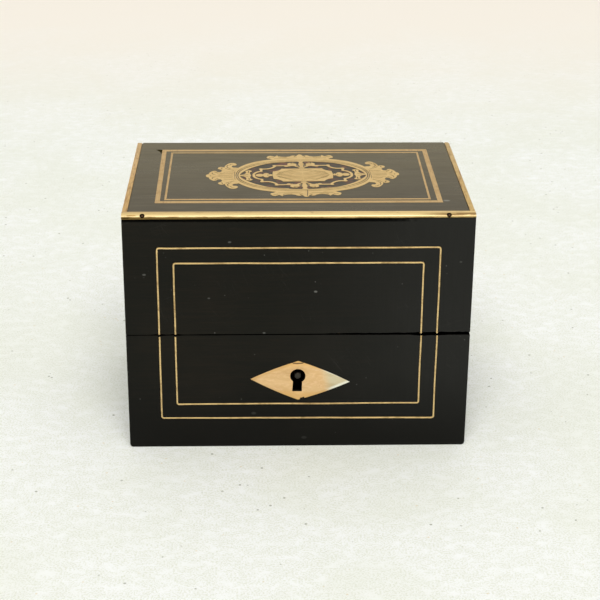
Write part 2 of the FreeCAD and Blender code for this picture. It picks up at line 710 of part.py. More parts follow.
def strap():
    """The bracket strap: its middle line offset to both sides, with knots."""
    quarter = [line(STRAP_END[0], STRAP_SHOULDER), line(STRAP_SHOULDER, STRAP_HOLLOW[2])]
    quarter += arcs(STRAP_END) + arcs(STRAP_HOLLOW) + [line(STRAP_HOLLOW[0], (0, STRAP_TOP))]
    middle = Part.Wire(Part.__sortEdges__(four_fold(quarter)))
    half = size("strap_width") / 2
    outer, inner = (thicken(middle.makeOffset2D(sign * half, join=2)) for sign in (1, -1))
    knots = []
    for (x, y), radius in KNOTS:
        for across in (-x, x):
            for up in (-y, y):
                ring = Part.Circle(point((across, up)), V(0, 0, 1), radius * pattern_scale())
                knots.append(slab([ring.toShape()]))
    return outer.cut(inner).fuse(knots).removeSplitter()


def medallion():
    corner = arcs(MEDALLION_CORNER)
    top = line((0, MEDALLION_CORNER[0][1]), MEDALLION_CORNER[0])
    end = line(MEDALLION_CORNER[2], (MEDALLION_END, 0))
    return slab(four_fold(corner + [top, end]))


def sprigs():
    """Palmettes front and back, a trefoil and a row of beads at each end."""
    half = arcs(PALMETTE)
    (head_x, head_y), (foot_x, foot_y) = PALMETTE[0], PALMETTE[-1]
    closing = [line((head_x, head_y), (-head_x, head_y)), line((foot_x, foot_y), (-foot_x, foot_y))]
    palmette = slab(half + mirrored(half, V(1, 0, 0)) + closing)
    half = arcs(TREFOIL)
    root_x, root_y = TREFOIL[0]
    trefoil = slab(half + mirrored(half, V(0, 1, 0)) + [line((root_x, root_y), (root_x, -root_y))])
    beads = [slab([bead(*sizes)]) for sizes in BEADS]
    row = beads[0].fuse(beads[1:]).removeSplitter()
    pairs = []
    for shape, axis in ((palmette, V(0, 1, 0)), (trefoil, V(1, 0, 0)), (row, V(1, 0, 0))):
        pairs += [shape] + mirrored([shape], axis)
    return pairs


def bead(centre, half_length, half_breadth):
    """An ellipse whose long axis may lie either way."""
    end, side = point((centre + half_length, 0)), point((centre, half_breadth))
    tall = half_breadth > half_length
    first, second = (side, point((centre - half_length, 0))) if tall else (end, side)
    return Part.Ellipse(first, second, point((centre, 0))).toShape()


def cartouche():
    """The pieces of the cartouche, sawn to fit each other, and their recess."""
    whole = slab(four_fold(arcs(LEAF_END) + [curve(OVAL_SHOULDER)] + arcs(CREST)))
    opening = oval_opening()
    plate = medallion()
    fitted_sprigs = [sprig.common(opening).cut(plate) for sprig in sprigs()]
    fitted_strap = strap().cut(Part.makeCompound(fitted_sprigs))
    set_in_lid("cartouche_rim", whole.cut(opening))
    set_in_lid("cartouche_ground", opening.cut([plate, fitted_strap, *fitted_sprigs]))
    set_in_lid("cartouche_strap", fitted_strap)
    set_in_lid("cartouche_medallion", plate)
    set_in_lid("cartouche_sprigs", Part.makeCompound(fitted_sprigs))
    return set_in_lid("cartouche_recess", whole)


def set_in_lid(label, shape):
    """Lay a piece of the pattern flush in the top of the lid."""
    piece = doc.addObject("Part::Feature", label)
    piece.Shape = shape.Solids[0] if len(shape.Solids) == 1 else Part.makeCompound(shape.Solids)
    spot = V(size("cartouche_shift"), size("cartouche_back"), size("box_height") - size("inlay"))
    piece.Placement = FreeCAD.Placement(spot, FreeCAD.Rotation(V(0, 0, 1), size("cartouche_turn")))
    return piece


def size(name):
    return float(sheet.get(name))


# Hinges and screws


def screw(label, x, y, z, upwards):
    """A countersunk screw, driven down from the place or up from it."""
    body = turned(
        label,
        [
            ("0", "0"),
            ("screw_head", "0"),
            ("screw_shank", "-screw_sink"),
            ("screw_shank", "screw_shank - screw_length"),
            ("0", "-screw_length"),
        ],
    )
    if upwards:
        body.Placement.Rotation = FreeCAD.Rotation(V(1, 0, 0), 180)
    move_to(body, x, y, z)
    return body


def screws():
    """All the screws of the base as one group, and all those of the lid."""
    base, lid = [], []
    for side in ("-", "+"):
        for end in ("-", "+"):
            x = f"{side}hinge_x {end} hinge_screw_pitch / 2"
            y = "hinge_y - hinge_screw_back"
            base.append(screw(f"base_hinge_screw_{len(base)}", x, y, "seam_height", False))
            lid.append(screw(f"lid_hinge_screw_{len(lid)}", x, y, "lid_bottom", True))
    for end in ("-", "+"):
        x = f"keyhole_shift {end} selvedge_screw_pitch / 2"
        y = "inner_front - selvedge_depth / 2"
        base.append(screw(f"lock_screw_{len(base)}", x, y, "seam_height", False))
        x = f"staple_x {end} link_screw_pitch / 2"
        lid.append(screw(f"link_screw_{len(lid)}", x, "bolt_middle", "lid_bottom", True))
    return group("base_screws", *base), group("lid_screws", *lid)


def hinge(side, sign, base_screws, lid_screws):
    """A butt hinge: two knuckles on the base leaf, one between them on the lid leaf."""
    middle = f"{sign}hinge_x"
    axis = ("hinge_y", "hinge_z")
    ends = (f"{middle} - leaf_length / 2", f"{middle} + leaf_length / 2")
    thirds = (f"{middle} - leaf_length / 6", f"{middle} + leaf_length / 6")
    inside = (f"{thirds[0]} + knuckle_gap", f"{thirds[1]} - knuckle_gap")
    depth = ("hinge_y - leaf_reach", "hinge_y")
    plates = {
        "base": block(f"{side}_base_plate", ends, depth, ("seam_height - leaf_thickness", "seam_height")),
        "lid": block(f"{side}_lid_plate", ends, depth, ("lid_bottom", "lid_bottom + leaf_thickness")),
    }
    wide = "knuckle_radius + barrel_clearance"

    def barrel(name, low, high, radius="knuckle_radius"):
        return rod(f"{side}_{name}", "x", radius, axis, low, high)

    bore = barrel("bore", f"{ends[0]} - overrun", f"{ends[1]} + overrun", "pin_radius + pin_clearance")
    base_cleared = cut(f"{side}_base_cleared", plates["base"], barrel("gap", *thirds, wide))
    outer_knuckles = (barrel("knuckle_a", ends[0], thirds[0]), barrel("knuckle_c", thirds[1], ends[1]))
    base_joined = join(f"{side}_base_joined", base_cleared, *outer_knuckles)
    cut(f"hinge_{side}_base_leaf", base_joined, bore, base_screws)
    left_gap = barrel("gap_a", f"{ends[0]} - overrun", inside[0], wide)
    right_gap = barrel("gap_c", inside[1], f"{ends[1]} + overrun", wide)
    lid_cleared = cut(f"{side}_lid_cleared", plates["lid"], left_gap, right_gap)
    lid_joined = join(f"{side}_lid_joined", lid_cleared, barrel("knuckle_b", *inside))
    cut(f"hinge_{side}_lid_leaf", lid_joined, bore, lid_screws)
    cleared_ends = (f"{ends[0]} - knuckle_gap", f"{ends[1]} + knuckle_gap")
    relief = barrel("relief", *cleared_ends, "knuckle_radius + board_clearance")
    pin = barrel("pin", ends[0], ends[1], "pin_radius")
    return {"base": [plates["base"], relief], "lid": [plates["lid"], relief], "pin": pin}


# Lock: case, cover, key pin, sliding bolt, and the staple on the lid


def lock_pocket():
    """The pocket cut into the front board from inside, and the recess in its rim."""
    half = "(case_width / 2 + lock_fit)"
    x = (f"keyhole_shift - {half}", f"keyhole_shift + {half}")
    y = ("lock_front - lock_fit", "inner_front")
    pocket = block("lock_pocket", x, y, ("case_low - lock_fit", "case_top"))
    x = ("keyhole_shift - selvedge_length / 2", "keyhole_shift + selvedge_length / 2")
    y = ("inner_front - selvedge_depth", "inner_front")
    plate = block("selvedge", x, y, ("case_top", "seam_height"))
    return pocket, plate


def lock_case(selvedge, screws_in_base, keyhole):
    """A tray of sheet brass that opens towards the wood, under its rim plate."""
    sides = ("keyhole_shift - case_width / 2", "keyhole_shift + case_width / 2")
    within = (f"{sides[0]} + case_plate", f"{sides[1]} - case_plate")
    outer = block("case_outer", sides, ("case_open", "inner_front"), ("case_low", "case_top"))
    hollow = block("case_hollow", within, ("case_open", "lock_back"), ("case_low + case_plate", "case_top"))
    tray = cut("case_tray", outer, hollow)
    rail = ("bolt_low - bolt_play - rail_height", "bolt_low - bolt_play")
    depth = ("case_open", "inner_front - case_plate / 2")
    lug_left, lug_right = "tongue_start - bolt_lug_width", "tongue_start + bolt_throw"
    left = (f"{sides[0]} + case_plate / 2", f"{lug_left} - bolt_play")
    right = (f"{lug_right} + bolt_play", f"{sides[1]} - case_plate / 2")
    left_rail, right_rail = block("rail_left", left, depth, rail), block("rail_right", right, depth, rail)
    body = join("case_joined", tray, selvedge, left_rail, right_rail)
    half_x, half_y = "(staple_thickness / 2 + staple_slot_play)", "(staple_width / 2 + staple_slot_play)"
    slot = block(
        "staple_slot",
        (f"staple_x - {half_x}", f"staple_x + {half_x}"),
        (f"bolt_middle - {half_y}", f"bolt_middle + {half_y}"),
        ("case_top - overrun", "seam_height + overrun"),
    )
    cut("lock_case", body, slot, screws_in_base)
    cover = block("cap_blank", sides, ("lock_front", "case_open"), ("case_low", "case_top"))
    cut("lock_cap", cover, keyhole)


def key_pin():
    """A round pin on the back plate, its tip just behind the keyhole."""
    body = turned(
        "lock_key_pin",
        [
            ("0", "0"),
            ("key_pin_radius", "0"),
            ("key_pin_radius", "lock_back - front - key_pin_recess - key_pin_bevel"),
            ("key_pin_radius - key_pin_bevel", "lock_back - front - key_pin_recess"),
            ("0", "lock_back - front - key_pin_recess"),
        ],
    )
    body.Placement.Rotation = FreeCAD.Rotation(V(1, 0, 0), 90)
    move_to(body, "keyhole_shift", "lock_back", "key_pin_level")


def lock_bolt():
    """The sliding bolt: a block, a thin tongue for the staple and a lug for the key."""
    y = ("bolt_middle - bolt_half", "bolt_middle + bolt_half")
    start = "keyhole_shift - case_width / 2 + case_plate + bolt_play"
    body = block("bolt_block", (start, "tongue_start"), y, ("bolt_low", "bolt_top"))
    lug_x = ("tongue_start - bolt_lug_width", "tongue_start")
    lug = block("bolt_lug", lug_x, y, ("bolt_low - bolt_lug_depth", "bolt_low + overrun"))
    tongue = block(
        "bolt_tongue",
        ("tongue_start - overrun", "tongue_end"),
        ("bolt_middle - tongue_thickness / 2", "bolt_middle + tongue_thickness / 2"),
        ("tongue_level - tongue_height / 2", "tongue_level + tongue_height / 2"),
    )
    join("lock_bolt", body, lug, tongue)


def link_plate(screws_in_lid):
    """The staple that drops into the lock, on a plate let into the lid's rim."""
    plate = block(
        "link_blank",
        ("staple_x - link_length / 2", "staple_x + link_length / 2"),
        ("bolt_middle - link_depth / 2", "bolt_middle + link_depth / 2"),
        ("lid_bottom", "lid_bottom + link_thickness"),
    )
    across = ("staple_x - staple_thickness / 2", "staple_x + staple_thickness / 2")
    y = ("bolt_middle - staple_width / 2", "bolt_middle + staple_width / 2")
    toe_level = "staple_low + staple_width / 2"
    leg = block("staple_leg", across, y, (toe_level, "lid_bottom + link_thickness / 2"))
    toe = rod("staple_toe", "x", "staple_width / 2", ("bolt_middle", toe_level), *across)
    eye_y = "(tongue_thickness / 2 + staple_eye_play)"
    eye_z = "(tongue_height / 2 + staple_eye_play)"
    eye = block(
        "staple_eye",
        (f"{across[0]} - overrun", f"{across[1]} + overrun"),
        (f"bolt_middle - {eye_y}", f"bolt_middle + {eye_y}"),
        (f"tongue_level - {eye_z}", f"tongue_level + {eye_z}"),
    )
    cut("link_plate", join("link_joined", plate, leg, toe), eye, screws_in_lid)
    return plate


# Inside: linings, dividers, pad, bottles and stoppers


def linings():
    """A lined tray in the base, a lined frame and a silk pad in the lid."""
    x, y = ("-inner_side", "inner_side"), ("inner_front", "inner_rear")
    lined_x, lined_y = ("-lined_side", "lined_side"), ("lined_front", "lined_rear")
    tray = block("tray_blank", x, y, ("board", "seam_height - lining_drop"))
    cut("base_lining", tray, block("tray_hollow", lined_x, lined_y, ("floor_top", "seam_height + overrun")))
    frame = block("lid_lining_blank", x, y, ("lid_bottom + lining_drop", "ceiling"))
    hollow = block("lid_lining_hollow", lined_x, lined_y, ("lid_bottom", "ceiling + overrun"))
    cut("lid_lining", frame, hollow)
    block(
        "lid_pad",
        ("pad_fit - lined_side", "lined_side - pad_fit"),
        ("lined_front + pad_fit", "lined_rear - pad_fit"),
        ("ceiling - pad_thickness", "ceiling"),
    )


def dividers():
    """One long slip and two cross slips, halved over each other."""
    level = ("floor_top", "floor_top + divider_height")
    half = "floor_top + divider_height / 2"
    lengthways = ("cells_middle - divider / 2", "cells_middle + divider / 2")
    long_blank = block("long_blank", ("-lined_side", "lined_side"), lengthways, level)
    notches = []
    for side, sign in (("left", "-"), ("right", "+")):
        x = (f"{sign}cell_pitch / 2 - divider / 2", f"{sign}cell_pitch / 2 + divider / 2")
        notches.append(block(f"{side}_notch", x, lengthways, (half, level[1])))
        blank = block(f"{side}_cross_blank", x, ("lined_front", "lined_rear"), level)
        notch = block(f"{side}_cross_notch", x, lengthways, (level[0], half))
        cut(f"divider_cross_{side}", blank, notch)
    cut("divider_long", long_blank, *notches)


CELLS = [(column, row) for row in ("-", "+") for column in (-1, 0, 1)]


def bottle(number, column, row):
    """A square bottle with cut corners and shoulders, a short neck and a flat lip."""
    glass = cut_block(
        f"bottle_{number}_glass",
        ("bottle_half_x", "bottle_half_y"),
        ("0", "bottle_body"),
        ("bottle_corner", "shoulder_cut"),
    )
    under_lip = "bottle_height - lip_thickness"
    neck = [
        ("0", "bottle_body - overrun"),
        ("neck_radius", "bottle_body - overrun"),
        ("neck_radius", under_lip),
        ("lip_radius", under_lip),
        ("lip_radius", "bottle_height"),
        ("0", "bottle_height"),
    ]
    turn(glass, "neck", neck)
    hollow = cut_block(
        f"bottle_{number}_hollow",
        ("(bottle_half_x - glass_wall)", "(bottle_half_y - glass_wall)"),
        ("glass_foot", "bottle_body - glass_foot"),
        ("hollow_corner", "hollow_slope"),
    )
    bore = [
        ("0", "glass_foot + overrun"),
        ("bore_radius", "glass_foot + overrun"),
        ("bore_radius", "bottle_height + overrun"),
        ("0", "bottle_height + overrun"),
    ]
    turn(hollow, "bore", bore)
    for body in (glass, hollow):
        move_to(body, f"{column} * cell_pitch", f"cells_middle {row} row_pitch / 2", "floor_top")
    cut(f"bottle_{number}", glass, hollow)


def cut_block(label, half_sizes, level, cuts):
    """An upright block with its four corners and the edges of its top cut off."""
    x, y = half_sizes
    body = extrude(label, "XY_Plane", rectangle((f"-{x}", x), (f"-{y}", y)), *level)
    dress_edges(body, "PartDesign::Chamfer", "Size", cuts[0], lambda m, d: along(d, V(0, 0, 1)))
    doc.recompute()
    top = body.Tip.Shape.BoundBox.ZMax
    return dress_edges(body, "PartDesign::Chamfer", "Size", cuts[1], lambda m, d: abs(m.z - top) < 0.01)


def stopper(number, column, row):
    """A ground plug and a collar, turned, under an eight-sided knob cut in three tiers."""
    body = turned(
        f"stopper_{number}",
        [
            ("0", "-plug_length"),
            ("bore_radius - stopper_fit - plug_taper", "-plug_length"),
            ("bore_radius - stopper_fit", "0"),
            ("stopper_collar", "0"),
            ("stopper_collar", "collar_height"),
            ("stopper_waist", "collar_height"),
            ("stopper_waist", "knob_foot + overrun"),
            ("0", "knob_foot + overrun"),
        ],
    )
    belt_low = "(knob_height + knob_foot - knob_belt) / 2"
    belt_high = f"{belt_low} + knob_belt"
    tiers = [("stopper_waist", "knob_foot"), ("knob_radius", belt_low), ("knob_radius", belt_high)]
    sections = []
    for radius, level in tiers + [("knob_table", "knob_height")]:
        sketch = sketch_in(body, "XY_Plane", level)
        draw_polygon(sketch, octagon(radius))
        sections.append(sketch)
    knob = body.newObject("PartDesign::AdditiveLoft", f"{body.Label}_knob")
    knob.Profile = sections[0]
    knob.Sections = sections[1:]
    knob.Ruled = True
    body.Tip = knob
    move_to(body, f"{column} * cell_pitch", f"cells_middle {row} row_pitch / 2", "floor_top + bottle_height")


def octagon(radius):
    corners = [22.5 + 45 * i for i in range(8)]
    return [(f"{radius} * cos({angle})", f"{radius} * sin({angle})") for angle in corners]


def build():
    """Make every sub-part; the fitted piece always cuts its own recess."""
    fill_the_sheet()
    keyhole = keyhole_cutter()
    pocket, selvedge = lock_pocket()
    base_screws, lid_screws = screws()
    hinges = [hinge(side, sign, base_screws, lid_screws) for side, sign in (("left", "-"), ("right", "+"))]
    group("hinge_pins", *(parts["pin"] for parts in hinges))
    base_cuts = [solid for parts in hinges for solid in parts["base"]]
    lid_cuts = [solid for parts in hinges for solid in parts["lid"]]
    base_boards(keyhole, pocket, selvedge, base_cuts, base_screws)
    front_band, rebates = edge_bands()
    pins, pin_holes = band_pins()
    cut("edge_band_front", front_band, *pin_holes)
    lid_boards(link_plate(lid_screws), lid_cuts, lid_screws, rebates, pins)
    base_wires, lid_wires = front_strings()
    front_veneers(base_wires, lid_wires, lozenge_blank(), keyhole)
    frames = top_frames()
    veneer = block("top_veneer_blank", FULL_WIDTH, ("front", "rear"), ("carcass_top", "box_height"))
    cut("lid_top_veneer", veneer, *rebates, *frames, cartouche())
    lock_case(selvedge, base_screws, keyhole)
    key_pin()
    lock_bolt()
    linings()
    dividers()
    for number, (column, row) in enumerate(CELLS, start=1):
        bottle(number, column, row)
        stopper(number, column, row)
    doc.recompute()


NODES = [
    "base_front_board", "base_back_board", "base_left_board", "base_right_board", "base_bottom_board",
    "base_front_veneer", "base_string_outer", "base_string_inner", "escutcheon",
    "lock_case", "lock_cap", "lock_key_pin", "base_screws",
    "hinge_left_base_leaf", "hinge_right_base_leaf", "hinge_pins", "base_lining",
    "divider_long", "divider_cross_left", "divider_cross_right",
    "lock_bolt",
    "lid_front_board", "lid_back_board", "lid_left_board", "lid_right_board", "lid_top_board",
    "lid_front_veneer", "lid_top_veneer", "lid_string_outer", "lid_string_inner",
    "edge_band_front", "edge_band_left", "edge_band_right", "edge_band_pins",
    "top_string_outer", "top_string_inner",
    "cartouche_ground", "cartouche_rim", "cartouche_strap", "cartouche_medallion", "cartouche_sprigs",
    "link_plate", "lid_screws", "hinge_left_lid_leaf", "hinge_right_lid_leaf", "lid_lining", "lid_pad",
] + [f"{kind}_{number}" for kind in ("bottle", "stopper") for number in range(1, len(CELLS) + 1)]


def write_parts():
    """Check the document, then write each sub-part to its own file."""
    for thing in doc.Objects:
        failed = {"Invalid", "Error"} & set(thing.State)
        if failed:
            raise RuntimeError(f"{thing.Label} did not build: {thing.State}")
    by_label = {thing.Label: thing for thing in doc.Objects}
    os.makedirs("parts", exist_ok=True)
    for node in NODES:
        shape = by_label[node].Shape
        if shape.isNull() or not shape.isValid() or not shape.Solids:
            raise RuntimeError(f"{node} has no valid solid")
        shape.exportStep(f"parts/{node}.step")
        print(f"{node}: {len(shape.Solids)} solids, {shape.Volume:.1f} mm3")


build()
write_parts()
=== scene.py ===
"""Ebonised perfume box with brass stringing, a shell lozenge and an inlaid lid.

Metres. Z is up, X runs to the right and Y away from the viewer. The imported
model is the frame; every piece below keeps to it.
"""

import logging
import math
from dataclasses import dataclass, field
from enum import Enum
from typing import Any, Callable, Iterable, Optional, Union

import bpy
from mathutils import Matrix, Vector, noise


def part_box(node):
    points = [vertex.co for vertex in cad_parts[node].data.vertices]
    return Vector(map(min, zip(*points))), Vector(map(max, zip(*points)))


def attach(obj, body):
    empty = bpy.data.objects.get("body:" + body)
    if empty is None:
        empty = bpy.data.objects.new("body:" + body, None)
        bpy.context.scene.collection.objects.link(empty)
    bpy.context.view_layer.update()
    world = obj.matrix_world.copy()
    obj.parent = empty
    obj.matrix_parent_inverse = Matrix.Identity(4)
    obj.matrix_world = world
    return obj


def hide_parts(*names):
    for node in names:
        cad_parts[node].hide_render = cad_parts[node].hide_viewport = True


LOG = logging.getLogger("perfume_box")

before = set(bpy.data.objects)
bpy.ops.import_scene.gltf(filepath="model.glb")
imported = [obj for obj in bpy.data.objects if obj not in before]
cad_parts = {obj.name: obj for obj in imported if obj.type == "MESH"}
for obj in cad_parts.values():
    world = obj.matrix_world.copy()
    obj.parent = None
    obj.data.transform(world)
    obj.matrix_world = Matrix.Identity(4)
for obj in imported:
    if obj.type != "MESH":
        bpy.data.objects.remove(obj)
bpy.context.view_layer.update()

Piece = bpy.types.Object
Material = bpy.types.Material
Colour = tuple[float, float, float]
Pair = tuple[float, float]
Line = list[Pair]
Mark = tuple[float, float, float, float]
Stroke = tuple[Line, bool, float]
Test = Callable[[Vector], bool]
EdgeTest = Callable[[Vector, Vector], bool]

MM = 0.001
# The planes of the front and the top
FRONT = -47.5 * MM
TOP = 103.0 * MM
# How near counts as the same point, as on a plane, and as clear of a limit
WELD = 0.002 * MM
HAIR = 0.01 * MM
SPARE = 0.02 * MM

# Millimetres. Wear of the seam: across, gone above it, gone below it
SEAM_WEAR = (
    (-71.0, 0.02, 0.02), (-60.5, 0.02, 0.02), (-57.6, 0.32, 0.05), (-55.2, 0.28, 0.34), (-53.4, 0.02, 0.05),
    (-52.3, 0.05, 0.03), (-50.9, 0.30, 0.10), (-48.8, 0.24, 0.22), (-46.8, 0.02, 0.03), (-42.0, 0.06, 0.06),
    (-38.0, 0.12, 0.14), (-31.0, 0.12, 0.12), (-29.8, 0.08, 0.08), (-18.0, 0.10, 0.08), (8.0, 0.14, 0.08),
    (20.0, 0.38, 0.16), (35.0, 0.34, 0.26), (45.0, 0.42, 0.30), (48.2, 0.62, 0.62), (51.5, 0.72, 0.86),
    (53.5, 0.54, 0.42), (55.0, 0.62, 0.74), (58.0, 0.72, 0.68), (61.0, 0.64, 0.46), (68.5, 0.68, 0.44),
    (71.0, 0.40, 0.20),
)
# Chip in the lid's sheet: across, back
TOP_CHIP = (
    (-61.3, 37.0), (-60.2, 37.5), (-58.4, 37.0), (-57.8, 35.8),
    (-57.7, 31.2), (-58.6, 31.0), (-59.3, 34.2), (-60.3, 35.9),
)
# Pale nicks: across, up (on the front) or back (on the lid), half size, strength
FRONT_MARKS = (
    (-61.8, 77.6, 0.5, 0.2), (-27.5, 91.4, 0.5, 0.2), (6.8, 70.0, 0.5, 0.32), (-36.1, 67.3, 0.4, 0.15),
    (-14.0, 51.9, 0.4, 0.25), (64.8, 82.6, 0.4, 0.12), (-18.4, 15.4, 0.7, 0.2), (2.6, 3.9, 0.8, 0.2),
)
TOP_MARKS = ((59.9, -31.5, 1.0, 0.4), (56.9, -27.3, 0.8, 0.35))
# Graver's strokes of a quarter of the cartouche: start, middle, end
QUARTER_STROKES = (
    ((29.6, 1.0), (32.6, 0.7), (36.0, 0.9)), ((29.6, 2.9), (32.4, 2.6), (35.4, 2.9)),
    ((29.4, 4.9), (31.6, 5.0), (33.8, 4.4)), ((29.3, 7.2), (31.4, 8.4), (33.0, 10.2)),
    ((30.6, 9.2), (32.2, 11.6), (31.6, 14.4)), ((37.2, 1.3), (38.4, 2.4), (38.6, 4.2)),
    ((36.0, 3.4), (36.9, 4.3), (37.6, 5.4)), ((35.0, 9.0), (34.4, 9.9), (34.6, 11.0)),
    ((29.4, 15.9), (30.5, 15.4), (31.0, 14.2)), ((2.2, 23.6), (6.6, 23.2), (11.4, 23.2)),
    ((5.6, 24.6), (8.2, 24.3), (9.4, 25.4)), ((11.4, 24.4), (12.6, 25.0), (13.4, 24.6)),
    ((1.4, 24.6), (2.2, 25.4), (2.4, 26.2)), ((2.4, 16.0), (3.6, 15.2), (4.6, 15.4)),
    ((1.6, 11.6), (2.0, 13.2), (1.8, 14.6)), ((23.3, 1.4), (24.4, 1.0), (25.4, 0.6)),
    ((23.2, 3.4), (23.0, 4.8), (23.2, 6.0)),
)
# Deep gaps between ring, palmette and medallion: the line, its half width
GAP_STROKES = (
    (((-6.6, 17.6), (-3.9, 18.0), (-1.2, 18.1)), 0.50), (((1.2, 18.1), (3.9, 18.0), (6.6, 17.6)), 0.50),
    (((-3.0, 8.9), (0.0, 9.4), (3.0, 8.9)), 0.45),
    (((-2.1, 17.4), (-1.45, 14.2), (-1.0, 10.8)), 0.46), (((2.1, 17.4), (1.45, 14.2), (1.0, 10.8)), 0.46),
    (((-4.7, 18.0), (-4.2, 16.8), (-4.4, 15.9)), 0.34), (((4.7, 18.0), (4.2, 16.8), (4.4, 15.9)), 0.34),
)
# Strokes that cross the long axis, on one side
SIDE_STROKES = (
    ((28.9, -5.6), (29.15, 0.0), (28.9, 5.6)), ((14.6, -1.2), (15.0, 0.0), (14.6, 1.2)),
    ((39.2, -0.8), (39.5, 0.0), (39.2, 0.8)),
)


class Body(Enum):
    """The moving bodies of the box."""

    BASE = "base"
    BOLT = "bolt"
    LID = "lid"


class Slot(Enum):
    """The record's material slots."""

    FRONT_FACE = "front_face"
    TOP_FACE = "top_face"
    CARCASE = "carcase_wood"
    BOTTOM = "bottom_wood"
    STRING = "brass_string"
    BAND = "brass_band"
    ENGRAVED = "engraved_brass"
    HINGE = "hinge_brass"
    LOCK = "lock_brass"
    LOCK_STEEL = "lock_steel"
    SCREW = "screw_steel"
    PIN = "pin_metal"
    DARK_SHELL = "dark_shell"
    PALE_SHELL = "pale_shell"
    VELVET = "velvet"
    SILK = "silk"
    BOTTLE = "bottle_glass"
    STOPPER = "stopper_glass"


class Axis(Enum):
    """An axis of the box."""

    X = 0
    Y = 1
    Z = 2

    def drawn(self, along: float, across: float) -> Colour:
        """Factors that draw a pattern out along this axis."""
        return tuple(along if number == self.value else across for number in range(3))


# Shader maths


class Flow:
    """A shader output that takes part in Python arithmetic."""

    def __init__(self, recipe: "Recipe", socket: bpy.types.NodeSocket) -> None:
        """Keep the socket and the recipe that it belongs to."""
        self.recipe = recipe
        self.socket = socket

    def __add__(self, other: "Number") -> "Flow":
        """Sum of two values."""
        return self.recipe.math("ADD", self, other)

    __radd__ = __add__

    def __sub__(self, other: "Number") -> "Flow":
        """This value less another."""
        return self.recipe.math("SUBTRACT", self, other)

    def __rsub__(self, other: "Number") -> "Flow":
        """Another value less this one."""
        return self.recipe.math("SUBTRACT", other, self)

    def __mul__(self, other: "Number") -> "Flow":
        """Product of two values."""
        return self.recipe.math("MULTIPLY", self, other)

    __rmul__ = __mul__

    def __abs__(self) -> "Flow":
        """This value without its sign."""
        return self.recipe.math("ABSOLUTE", self)


Number = Union[float, Flow]


